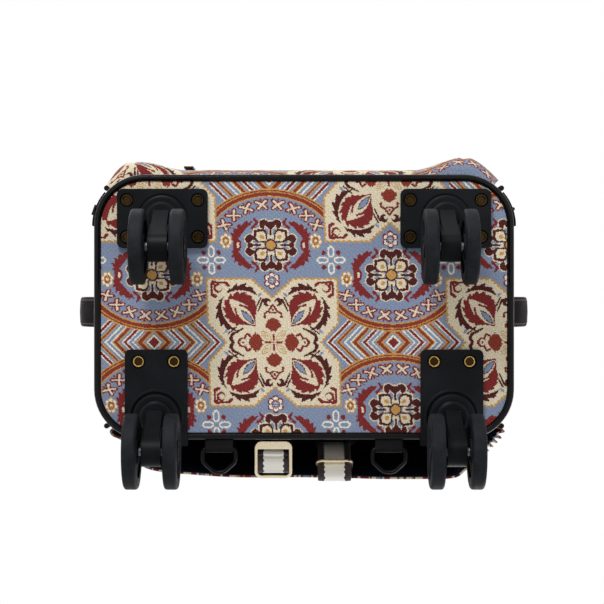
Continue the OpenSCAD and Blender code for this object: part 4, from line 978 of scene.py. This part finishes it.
# piping round the bottom panel: a cord in a vinyl strip, sewn between panel and walls
beadR = (pipeHigh.z - pipeLow.z) / 2
ring = rounded(pipeHigh.x - beadR, (pipeHigh.y - pipeLow.y) / 2 - beadR, body["corner"] - beadR,
               pipeHigh.z - beadR)
addBead("bottomPiping", ring, beadR, True, "bag", pipingVinyl, ["base_piping"])

# piping up the body's four upright edges and over its top, one run in front and one behind
edgePiping = {"radius": 0.002, "gap": 0.0023, "bend": 0.03}


def skinY(x, z):
    # half depth of the line on which the edge piping runs
    gap, roll = edgePiping["gap"], body["topRoll"]
    rise = max(z - (body["high"] - roll), 0)
    inset = roll + gap - math.sqrt(max((roll + gap) ** 2 - rise ** 2, 0)) if rise else 0
    r = max(body["corner"] + gap - inset, body["topCorner"] + gap)
    return body["halfD"] + gap - inset - fallBack(body["halfW"] + gap - inset - abs(x), r)


half45 = math.cos(math.pi / 4)
edgeX = body["halfW"] - body["corner"] * (1 - half45) + edgePiping["gap"] * half45
edgeZ = body["high"] - body["topRoll"] + (body["topRoll"] + edgePiping["gap"]) * math.sin(math.pi / 4)
bend = edgePiping["bend"]
upright = [(edgeX, body["low"] + edgePiping["radius"] + (edgeZ - bend - body["low"]) * k / 12)
           for k in range(12)]
upright += [(edgeX - bend * (1 - math.cos(a)), edgeZ - bend * (1 - math.sin(a)))
            for a in (math.radians(7.5 * k) for k in range(13))]
for label, face in (("front", -1), ("back", 1)):
    run = [middle + Vector((-x, face * skinY(x, z), z)) for x, z in upright]
    run += [middle + Vector((x, face * skinY(x, z), z)) for x, z in reversed(upright)]
    addBead(label + "EdgePiping", run, edgePiping["radius"], False, "bag", pipingVinyl,
            ["body_piping"] if face < 0 else [])
print("piping sewn")


def perimeterPlace(x, y):
    # distance round the body's plan from the middle of its front, to the right
    hx, hy, r = body["halfW"], body["halfD"], body["corner"]
    quarter = math.pi * r / 2
    ax, ay = abs(x), abs(y)
    if ax > hx - r and ay > hy - r:
        turn = math.atan2(ax - hx + r, ay - hy + r)
        part = hx - r + turn * r
    elif ay > hy - r or ay - hy > ax - hx:
        part = ax
    else:
        part = hx - r + quarter + (hy - r - ay)
    half = 2 * (hx - r) + 2 * quarter + 2 * (hy - r)
    part = part if y < 0 else half - part
    return part if x >= 0 else -part


# body: one lofted bag of tapestry, slightly slack between its piped edges
# cuts that give the cloth its mesh: axis, first and last, and the step between them
cuts = ((2, body["low"] + 0.008, body["high"] - 0.03, 0.012), (0, -0.11, 0.11, 0.0137),
        (1, -0.055, 0.055, 0.0137))


def makeBody():
    low, high, tall = body["low"], body["high"], body["high"] - body["low"]
    bm = bmesh.new()
    bmesh.ops.create_cube(bm, size=1)
    bmesh.ops.scale(bm, vec=(2 * body["halfW"], 2 * body["halfD"], tall), verts=bm.verts)
    bmesh.ops.translate(bm, vec=(0, 0, (high + low) / 2), verts=bm.verts)
    upright = [e for e in bm.edges if abs(e.verts[0].co.z - e.verts[1].co.z) > 0.1]
    bmesh.ops.bevel(bm, geom=upright, offset=body["corner"], segments=10, affect="EDGES", profile=0.5,
                    material=-1)
    top = [e for e in bm.edges if all(v.co.z > high - 1e-4 for v in e.verts) and len(e.link_faces) == 2
           and any(f.normal.z < 0.5 for f in e.link_faces)]
    bmesh.ops.bevel(bm, geom=top, offset=body["topRoll"], segments=8, affect="EDGES", profile=0.5,
                    material=-1)
    bmesh.ops.delete(bm, geom=[f for f in bm.faces if f.normal.z < -0.5], context="FACES")
    for axis, place, last, step in cuts:
        normal = Vector((0, 0, 0))
        normal[axis] = 1
        while place < last:
            bmesh.ops.bisect_plane(bm, geom=bm.verts[:] + bm.edges[:] + bm.faces[:],
                                   plane_co=normal * place, plane_no=normal)
            place += step
    bm.normal_update()
    uvMap = bm.loops.layers.uv.new("cloth")
    for face in bm.faces:
        flat = face.normal.z > 0.7
        centre = face.calc_center_median()
        for loop in face.loops:
            co = loop.vert.co
            u = co.x if flat else perimeterPlace(co.x, co.y)
            if not flat and centre.x < 0 < u:
                u = -u
            loop[uvMap].uv = (u + clothShift, (high - co.y) if flat else co.z)
    for vert in bm.verts:
        co = vert.co.copy()
        slack = ease(co.z, low, low + 0.05) * ease(high + 0.01 - co.z, 0, 0.05)
        pinned = min(abs(abs(co.x) - edgeX), body["pinned"]) / body["pinned"]
        calm = ease(abs(co.y + body["zipY"]), *body["zipFlat"])  # flat under the main zip
        dent = noise.noise(Vector((co.x * 9, co.y * 9, co.z * 5))) + 0.5 * noise.noise(co * 24)
        vert.co += vert.normal * body["wrinkle"] * dent * slack * pinned * calm
        # the sides belly out a little over the bottom piping
        up = co.z - low
        belly = ease(up, 0, body["bellyLow"]) * calm
        belly *= ease(body["bellyTop"] - up, 0, body["bellyTop"] - body["bellyLow"])
        belly *= ease(body["halfD"] - 0.008 - abs(co.y), 0, 0.03) * abs(vert.normal.x)
        vert.co.x += math.copysign(body["belly"] * belly, co.x)
        drop = ease(low + body["rimRun"] - co.z, 0, body["rimRun"])
        vert.co -= Vector((vert.normal.x, vert.normal.y, 0)) * body["rimInset"] * drop
    bmesh.ops.translate(bm, vec=middle, verts=bm.verts)
    addPiece("bodyCloth", bm, [tapestry], "bag", ["body_shell"])


makeBody()
print("body made")

# front pocket: boxed lower corners stand full, the middle sags and leans out towards the top; pairs are
# for its left and right half
pocket = {"seam": 0.1415, "peak": (0.129, 0.1205), "edge": (0.1505, 0.1463), "edgeY": (0.0885, 0.0952),
          "front": (0.1103, 0.1131), "middleFront": 0.113, "sag": 0.011, "sagRun": 0.15, "roll": 0.014,
          "topRoll": 0.02, "rollShare": 0.1, "cornerFrom": 0.69, "outerCurve": 1.7, "dart": 0.0022,
          "dartWidth": 0.0022, "dartRun": 0.06, "wrinkle": 0.0011, "creaseRun": 0.2, "cloth": 0.275,
          "clothDrop": 0.03}


def pocketPoint(u, v):
    side = 0 if u < 0.5 else 1
    t = abs(2 * u - 1)
    edge, peak, share = pocket["edge"][side], pocket["peak"][side], pocket["rollShare"]
    x = t * edge
    low, high = pocketLow.z, pocketHigh.z
    if v < share:
        angle = v / share * math.pi / 2
        k, z = math.sin(angle), low + pocket["roll"] * (1 - math.cos(angle))
    elif v > 1 - share:
        angle = (1 - v) / share * math.pi / 2
        k, z = math.sin(angle), high - pocket["topRoll"] * (1 - math.cos(angle))
    else:
        straight = high - low - pocket["roll"] - pocket["topRoll"]
        k, z = 1, low + pocket["roll"] + straight * (v - share) / (1 - 2 * share)
    corner = ease(x, pocket["cornerFrom"] * peak, peak)
    back = wallY(min(x * pocket["seam"] / edge, pocket["seam"])) + rest
    full = pocket["middleFront"] + (pocket["front"][side] - pocket["middleFront"]) * corner
    full -= pocket["sag"] * max(0, 1 - (z - low) / pocket["sagRun"]) * (1 - corner)
    if x > peak:
        full -= (full - pocket["edgeY"][side]) * ((x - peak) / (edge - peak)) ** pocket["outerCurve"]
    seamLine = math.exp(-((x - peak) / pocket["dartWidth"]) ** 2)
    full -= pocket["dart"] * seamLine * max(0, 1 - (z - low) / pocket["dartRun"])
    flatX = (pocket["seam"] / edge * x) * (1 - k) + x * k
    y = back + (full - back) * k ** (1 - 0.5 * corner)
    place = Vector((flatX if side else -flatX, -y, z))
    # creases run out from the darts and soften upwards
    pull = noise.noise(Vector((place.x * 55, place.z * 16, 3.1)))
    pull += 0.6 * noise.noise(Vector((place.x * 20, place.z * 30, 7.7)))
    crease = (0.35 + 0.65 * corner) * k * min(1, (1 - t) * 12)
    crease *= 0.4 + 0.6 * max(0, 1 - (z - low) / pocket["creaseRun"])
    place.y -= pocket["wrinkle"] * pull * crease
    return place + middle


def pocketFlat(u, v):
    side = 0 if u < 0.5 else 1
    return ((2 * u - 1) * pocket["edge"][side] - clothShift, v * pocket["cloth"] - pocket["clothDrop"])


addPiece("pocketCloth", layGrid(110, 90, pocketPoint, pocketFlat), [tapestry], "bag",
         ["front_pocket"])
print("pocket made")

# sleeve over the straps: hung from its top seam, open at the hem, lined in navy; plan at the hem in
# millimetres, the folds of its gather on the right
sleeve = {
    "plan": [(-141.5, 89.4), (-145.2, 91.6), (-147.6, 94.6), (-145.8, 98), (-140.8, 100.3), (-136.6, 102.8),
             (-133.4, 108), (-128.6, 115.4), (-122.4, 121.4), (-113, 124.6), (-91.4, 128), (-45, 130.2),
             (0, 130.8), (50, 130.9), (100, 130.8), (111, 130.4), (117.4, 129), (124, 123.6),
             (128.5, 119.8), (133, 114.9), (137.4, 113), (135.6, 109.4), (140.6, 109.8), (138.6, 106.2),
             (144, 106.6), (141.8, 103), (147.2, 103.4), (144.8, 99.8), (150.4, 100), (147.4, 96.8),
             (152.6, 95), (149.5, 91.6), (145, 90.4), (141.5, 89.4)],
    "seam": 0.1415, "seamY": 0.0894, "lean": 0.07, "steps": 5, "rows": 46, "thickness": 0.0016,
    "topDrop": 0.04, "straight": 0.88, "topDepth": 0.1, "hem": 0.004, "relax": 0.15, "slack": 0.0018,
    "slackY": (0.094, 0.12), "clothStart": (0.02, 0.1), "clothOver": 0.02}


def makeSleeve():
    plan = smoothPath([(x / 1000, y / 1000, 0) for x, y in sleeve["plan"]], sleeve["steps"])
    columns = len(plan) - 1
    lengths = runLengths(plan)
    low, high, drop, straight = coverLow.z, coverHigh.z, sleeve["topDrop"], sleeve["straight"]

    def place(u, v):
        hem = plan[round(u * columns)]
        if v > straight:
            angle = (v - straight) / (1 - straight) * math.pi / 2
            z, k = high - drop + drop * math.sin(angle), max(sleeve["topDepth"], math.cos(angle))
        else:
            z, k = low + (high - drop - low) * v / straight, 1
        # above the hem the gather and the bulges fade into an even cover
        side = 1 if hem.x > 0 else -1
        calmX = side * min(abs(hem.x), sleeve["seam"] - max(hem.y - sleeve["seamY"], 0) * sleeve["lean"])
        calm = ease(z, low + sleeve["hem"], low + sleeve["relax"])
        x = hem.x + (calmX - hem.x) * calm
        wall = wallY(min(abs(x), sleeve["seam"])) + rest
        y = wall + (max(hem.y, wall) - wall) * k
        wave = noise.noise(Vector((x * 14, z * 7, 1.7))) + 0.5 * noise.noise(Vector((x * 32, z * 13, 4.2)))
        y += sleeve["slack"] * min(0, wave - 0.1) * k * ease(hem.y, *sleeve["slackY"])
        return Vector((x, y, z)) + middle

    def flat(u, v):
        return (lengths[round(u * columns)] + sleeve["clothStart"][0],
                sleeve["clothStart"][1] + v * (high - low + sleeve["clothOver"]))

    bm = layGrid(columns, sleeve["rows"], place, flat)
    if sum(f.normal.y for f in bm.faces) < 0:
        bmesh.ops.reverse_faces(bm, faces=bm.faces)
    piece = addPiece("sleeveCloth", bm, [tapestry, lining], "bag", ["back_cover"])
    wall = piece.modifiers.new("lining", "SOLIDIFY")
    wall.thickness = sleeve["thickness"]
    wall.offset = -1
    wall.material_offset = 1


makeSleeve()
print("sleeve made")


# strap shapes: a closed band swept along a path, thicker in its middle than at its edges
def layBand(path, across, width, thickness, crown=1.0, around=20, sidePower=0.3, upPower=0.6):
    path = [Vector(p) for p in path]
    count = len(path) - 1
    across = Vector(across)
    lengths = runLengths(path)
    outs = []
    for i in range(count + 1):
        along = (path[min(i + 1, count)] - path[max(i - 1, 0)]).normalized()
        outs.append(along.cross(across).normalized())

    def sidePlace(v):
        return squared(math.cos(2 * math.pi * v), sidePower)

    def place(u, v):
        i = round(u * count)
        side, up = sidePlace(v), squared(math.sin(2 * math.pi * v), upPower)
        depth = thickness(i / count) if callable(thickness) else thickness
        depth *= crown + (1 - crown) * side * side
        return path[i] + across * (side * width / 2) + outs[i] * (up * depth / 2)

    bm = layGrid(count, around, place, lambda u, v: (lengths[round(u * count)], sidePlace(v) * width / 2))
    closeSkin(bm)
    return bm


# carry handles: leatherette over a foam core, their flat feet sewn to the body
handles = {"width": 0.025, "foot": 0.013, "footRise": 0.0014, "step": (0.004, 0.003, 0.005),
           "archShare": 0.86, "coreThickness": 0.0052, "footThickness": 0.0022, "swell": (0.06, 0.2),
           "crown": 1.25, "side": {"span": 0.13, "rise": 0.0325}, "top": {"span": 0.12, "rise": 0.0295}}


def handlePath(span, rise):
    half = span / 2
    radius = (half * half + rise * rise) / (2 * rise)
    foot, (outer, inner, lift) = handles["footRise"], handles["step"]
    points = [(-half - handles["foot"], foot), (-half - outer, foot), (-half + inner, lift)]
    for k in range(-5, 6):
        s = half * handles["archShare"] * k / 5
        points.append((s, math.sqrt(radius ** 2 - s * s) - radius + rise))
    points += [(half - inner, lift), (half + outer, foot), (half + handles["foot"], foot)]
    return smoothPath([(s, r, 0) for s, r in points], 4)


def handleThickness(u):
    swell = ease(0.5 - abs(u - 0.5), *handles["swell"])
    return handles["footThickness"] + (handles["coreThickness"] - handles["footThickness"]) * swell


for name, node, side in (("left", "side_handle_left", -1), ("right", "side_handle_right", 1),
                         ("top", "top_handle", 0)):
    low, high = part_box(node)
    centre = (low + high) / 2
    if side:
        path = [Vector((side * (body["halfW"] + p.y), centre.y, centre.z + p.x))
                for p in handlePath(**handles["side"])]
    else:
        path = [Vector((centre.x + p.x, centre.y, body["high"] + p.y))
                for p in handlePath(**handles["top"])]
    strap = layBand(path, (0, 1, 0), handles["width"], handleThickness, handles["crown"])
    addPiece(name + "CarryHandle", strap, [leatherette], "bag", [node])
print("carry handles sewn")

# strap-end webbing, threaded through its slide buckle: routes in millimetres, behind the panel and above it
webbing = {"width": 0.025, "thickness": 0.0018, "x": 0.023, "panelHalf": 0.0975,
           "left": [(8.5, 69.8), (8.8, 56), (9.6, 44), (11, 36), (13.6, 32.4), (15.4, 32.9), (17.4, 31.4),
                    (21, 31), (25.8, 32.8), (27.4, 37), (27, 50)],
           "right": [(8.5, 69.8), (9.4, 58), (13, 46), (18.4, 36), (25, 28.6), (30.6, 26.2), (32.8, 28.8),
                     (31.4, 31.4), (27.6, 32.6), (22.5, 37.6)]}
panelBack = panelMiddle.y + webbing["panelHalf"]
for name, side in (("left", -1), ("right", 1)):
    path = smoothPath([(side * webbing["x"], panelBack + y / 1000, panelPlane + z / 1000)
                       for y, z in webbing[name]], 6)
    strap = layBand(path, (1, 0, 0), webbing["width"], webbing["thickness"], 1.0, 24)
    addPiece(name + "StrapWebbing", strap, [webbingStripe], "bag", ["strap_webbing_" + name])

# slide buckles: cast frames with rounded corners and a broad bar, their edges rolled soft
buckle = {"width": 0.0283, "length": 0.028, "corner": 0.0052, "bar": 0.0062, "side": 0.0022,
          "depth": 0.0019, "edge": 0.0005, "merge": 0.0011}


def makeBuckle(name, x, y, z, tilt):
    # a plate with rounded corners, inset to a frame, its bar drawn in, then given its depth
    bm = bmesh.new()
    half, end = buckle["width"] / 2, buckle["length"] / 2
    bmesh.ops.create_grid(bm, x_segments=1, y_segments=1, size=1)
    bmesh.ops.scale(bm, vec=(half, end, 1), verts=bm.verts)
    bmesh.ops.bevel(bm, geom=bm.verts[:], offset=buckle["corner"], segments=7, affect="VERTICES",
                    profile=0.5, material=-1)
    bmesh.ops.inset_region(bm, faces=bm.faces[:], thickness=buckle["side"], use_even_offset=True,
                           use_boundary=True)
    hole = max(bm.faces, key=lambda f: f.calc_area())
    drawn = [v for v in hole.verts if v.co.y < buckle["bar"] - end]
    for vert in drawn:
        vert.co.y = buckle["bar"] - end
    bmesh.ops.delete(bm, geom=[hole], context="FACES_ONLY")
    bmesh.ops.remove_doubles(bm, verts=drawn, dist=buckle["merge"])
    sheet = bmesh.ops.extrude_face_region(bm, geom=bm.faces[:])
    raised = [g for g in sheet["geom"] if isinstance(g, bmesh.types.BMVert)]
    bmesh.ops.translate(bm, vec=(0, 0, buckle["depth"]), verts=raised)
    bmesh.ops.recalc_face_normals(bm, faces=bm.faces)
    rims = [e for e in bm.edges if len(e.link_faces) == 2 and e.calc_face_angle() > 1]
    bmesh.ops.bevel(bm, geom=rims, offset=buckle["edge"], segments=3, affect="EDGES", profile=0.5,
                    material=-1)
    bmesh.ops.translate(bm, vec=(0, 0, -buckle["depth"] / 2), verts=bm.verts)
    tipped = Matrix.Rotation(math.radians(tilt), 3, "X")
    bmesh.ops.rotate(bm, cent=(0, 0, 0), matrix=tipped, verts=bm.verts)
    bmesh.ops.translate(bm, vec=(x, panelBack + y, panelPlane + z), verts=bm.verts)
    node = "strap_buckle_left" if x < 0 else "strap_buckle_right"
    piece = addPiece(name, bm, [buckleMetal], "bag", [node])
    piece.data.set_sharp_from_angle(angle=math.radians(40))
    piece.modifiers.new("evenShading", "WEIGHTED_NORMAL").keep_sharp = True


# name, place across, behind the panel and above it, and how far it is tipped
makeBuckle("leftSlideBuckle", -webbing["x"], 0.0175, 0.0292, 0)
makeBuckle("rightSlideBuckle", webbing["x"], 0.0224, 0.0388, 71)
print("strap ends threaded")

# strap-anchor rings: moulded D shapes with a straight bar held by a folded tab
ring = {"half": 0.0135, "length": 0.0185, "radius": 0.0014, "corner": 0.0028, "shoulder": 0.55, "nose": 0.28}
tabs = {"width": 0.0204, "thickness": 0.0012, "turn": 0.00215,
        "fold": [(-0.0067, 0.0009), (-0.0035, 0.0012), (-0.0012, 0.002)]}


def roundCorners(points, radius, steps=5):
    path = []
    for i, point in enumerate(points):
        before, after = points[i - 1], points[(i + 1) % len(points)]
        start = point + (before - point).normalized() * radius
        end = point + (after - point).normalized() * radius
        for k in range(steps + 1):
            share = k / steps
            path.append(start.lerp(point, share).lerp(point.lerp(end, share), share))
    return path


for name in ("left", "right"):
    low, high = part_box("d_ring_" + name)
    cx, cz = (low.x + high.x) / 2, (low.z + high.z) / 2
    bar = low.y + ring["radius"]
    h, tip = ring["half"] - ring["radius"], ring["length"] - ring["radius"]
    shape = [(-h, 0), (h, 0), (h, ring["shoulder"] * tip), (ring["nose"] * h, tip),
             (-ring["nose"] * h, tip), (-h, ring["shoulder"] * tip)]
    points = [Vector((cx + x, bar + y, cz)) for x, y in shape]
    addBead(name + "AnchorRing", roundCorners(points, ring["corner"]), ring["radius"], True,
            "ring_" + name, ringPlastic, ["d_ring_" + name])
    turns = [math.radians(a) for a in range(0, 181, 20)]
    fold = tabs["fold"] + [(tabs["turn"] * math.sin(a), tabs["turn"] * math.cos(a)) for a in turns]
    fold += [(y, -z) for y, z in reversed(tabs["fold"])]
    path = smoothPath([(cx, bar + y, cz + z) for y, z in fold], 3)
    strap = layBand(path, (1, 0, 0), tabs["width"], tabs["thickness"], 1.0, 16)
    addPiece(name + "AnchorTab", strap, [tapeWeave], "bag", ["d_ring_tabs"])
print("rings hung")

# main zip: a tape sewn round the body just behind the front piping, a spiral coil along its middle
mainZip = {"fromFront": 0.025, "width": 0.024, "gap": 0.0005, "thickness": 0.0011, "coil": 0.0013,
           "foot": 0.0715, "drift": 0.6, "run": 1.1, "turns": 320}


def zipPoint(u, c, lift):
    half, roll, flatRun = body["halfW"], body["topRoll"], body["halfW"] - body["topRoll"]
    sideRun = body["high"] - roll - mainZip["foot"]
    arc = math.pi / 2 * roll
    way = abs(2 * u - 1) * (flatRun + arc + sideRun)
    side = 1 if u > 0.5 else -1
    turn = min(max((way - flatRun) / roll, 0), math.pi / 2)
    inset = roll * (1 - math.sin(turn))
    z = body["high"] - roll + roll * math.cos(turn) - max(0, way - flatRun - arc)
    c -= mainZip["drift"] * inset
    r = max(body["corner"] - inset, body["topCorner"])
    fall = fallBack(c, r)
    x = half - inset - fall
    if way < flatRun:
        x *= way / flatRun
    y = -body["halfD"] + inset + c
    nx = (r - fall) / r if c < r else 1
    ny = -(r - c) / r if c < r else 0
    out = Vector((side * nx * math.sin(turn), ny * math.sin(turn), math.cos(turn)))
    return Vector((side * x, y, z)) + middle + out * lift


def zipTape(u, v):
    return zipPoint(u, mainZip["fromFront"] + (v - 0.5) * mainZip["width"], mainZip["gap"])


def thicken(piece, axis):
    # a zip tape grows away from the cloth that carries it
    thick = piece.modifiers.new("thickness", "SOLIDIFY")
    thick.thickness = mainZip["thickness"]
    thick.offset = 1 if piece.data.polygons[0].normal[axis] < 0 else -1


grid = layGrid(220, 8, zipTape, lambda u, v: (u * mainZip["run"], (v - 0.5) * mainZip["width"]))
thicken(addPiece("mainZipTape", grid, [tapeWeave], "bag", ["main_zip_tape"]), 0)
coil = [zipPoint(k / mainZip["turns"], mainZip["fromFront"], mainZip["gap"] + mainZip["thickness"])
        for k in range(mainZip["turns"] + 1)]
addBead("mainZipCoil", coil, mainZip["coil"], False, "bag", zipCoil)

# pocket zip: the same tape laid straight across the pocket's front
pocketZip = {"lift": 0.0001, "run": 0.22, "coilInset": 0.003, "turns": 80}
tapeLow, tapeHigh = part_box("pocket_zip_tape")
zipMiddle = (tapeLow + tapeHigh) / 2


def pocketTape(u, v):
    return Vector((tapeLow.x + u * (tapeHigh.x - tapeLow.x), tapeHigh.y - pocketZip["lift"],
                   tapeLow.z + v * (tapeHigh.z - tapeLow.z)))


grid = layGrid(60, 8, pocketTape, lambda u, v: (u * pocketZip["run"], (v - 0.5) * mainZip["width"]))
thicken(addPiece("pocketZipTape", grid, [tapeWeave], "bag", ["pocket_zip_tape"]), 1)
inset, turns = pocketZip["coilInset"], pocketZip["turns"]
coil = [Vector((tapeLow.x + inset + k * (tapeHigh.x - tapeLow.x - 2 * inset) / turns,
                tapeLow.y - pocketZip["lift"], zipMiddle.z)) for k in range(turns + 1)]
addBead("pocketZipCoil", coil, mainZip["coil"], False, "bag", zipCoil)
print("zips sewn")

# back: quilted mesh panel and two padded shoulder straps, under the sleeve
padding = {"channels": 5, "channelHalf": 0.09, "depth": 0.0011, "edge": (0.06, 0.04), "foot": 0.0003,
           "cloth": (0.22, 0.31)}
shoulder = {"foot": 0.0155, "head": 0.0225, "widenBy": 0.8, "end": 0.07, "endWidth": 0.75, "endDepth": 0.35,
            "sidePower": 0.45, "upPower": 0.8, "channel": 0.2, "channelAt": 0.75, "channelHalf": 0.06,
            "cloth": (0.26, 0.1)}


def roundedEnd(u, run):
    # rises as a quarter circle over the first and the last part of a run
    return math.sqrt(max(0, 1 - (1 - min(u, 1 - u, run) / run) ** 2))


def makeBackPad():
    low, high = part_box("back_pad")
    foot = low.y + padding["foot"]

    def place(u, v):
        edge = roundedEnd(u, padding["edge"][0]) * roundedEnd(v, padding["edge"][1])
        channel = math.exp(-((((v * padding["channels"]) % 1) - 0.5) / padding["channelHalf"]) ** 2)
        y = foot + (high.y - foot) * edge - padding["depth"] * channel * edge
        return Vector((low.x + u * (high.x - low.x), y, low.z + v * (high.z - low.z)))

    bm = layGrid(60, 90, place, lambda u, v: (u * padding["cloth"][0], v * padding["cloth"][1]))
    rim = [e for e in bm.edges if e.is_boundary]
    back = bmesh.ops.extrude_edge_only(bm, edges=rim)
    for vert in back["geom"]:
        if isinstance(vert, bmesh.types.BMVert):
            vert.co.y = low.y
    bmesh.ops.holes_fill(bm, edges=[e for e in bm.edges if e.is_boundary], sides=0)
    bmesh.ops.recalc_face_normals(bm, faces=bm.faces)
    piece = addPiece("backPad", bm, [padMesh], "bag", ["back_pad"])


makeBackPad()


def makeShoulderStrap(name):
    low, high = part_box("shoulder_strap_" + name)
    side = -1 if name == "left" else 1
    near, far = (low.y + high.y) / 2, (high.y - low.y) / 2
    foot = Vector((side * webbing["x"], near, low.z))
    head = Vector(((low.x + shoulder["head"]) if side < 0 else (high.x - shoulder["head"]), near, high.z))

    def place(u, v):
        end = roundedEnd(u, shoulder["end"])
        x = squared(math.cos(2 * math.pi * v), shoulder["sidePower"])
        y = squared(math.sin(2 * math.pi * v), shoulder["upPower"])
        half = shoulder["foot"] + (shoulder["head"] - shoulder["foot"]) * ease(u, 0, shoulder["widenBy"])
        channel = math.exp(-((abs(x) - shoulder["channelAt"]) / shoulder["channelHalf"]) ** 2)
        wide = half * (shoulder["endWidth"] + (1 - shoulder["endWidth"]) * end)
        deep = far * (1 - shoulder["channel"] * channel)
        deep *= shoulder["endDepth"] + (1 - shoulder["endDepth"]) * end
        return foot.lerp(head, u) + Vector((x * wide, y * deep, 0))

    bm = layGrid(70, 36, place, lambda u, v: (u * shoulder["cloth"][0], v * shoulder["cloth"][1]))
    closeSkin(bm)
    piece = addPiece(name + "ShoulderStrap", bm, [padMesh], "bag", ["shoulder_strap_" + name])


makeShoulderStrap("left")
makeShoulderStrap("right")
print("straps padded")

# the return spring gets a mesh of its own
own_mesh(nodes["button_spring"])
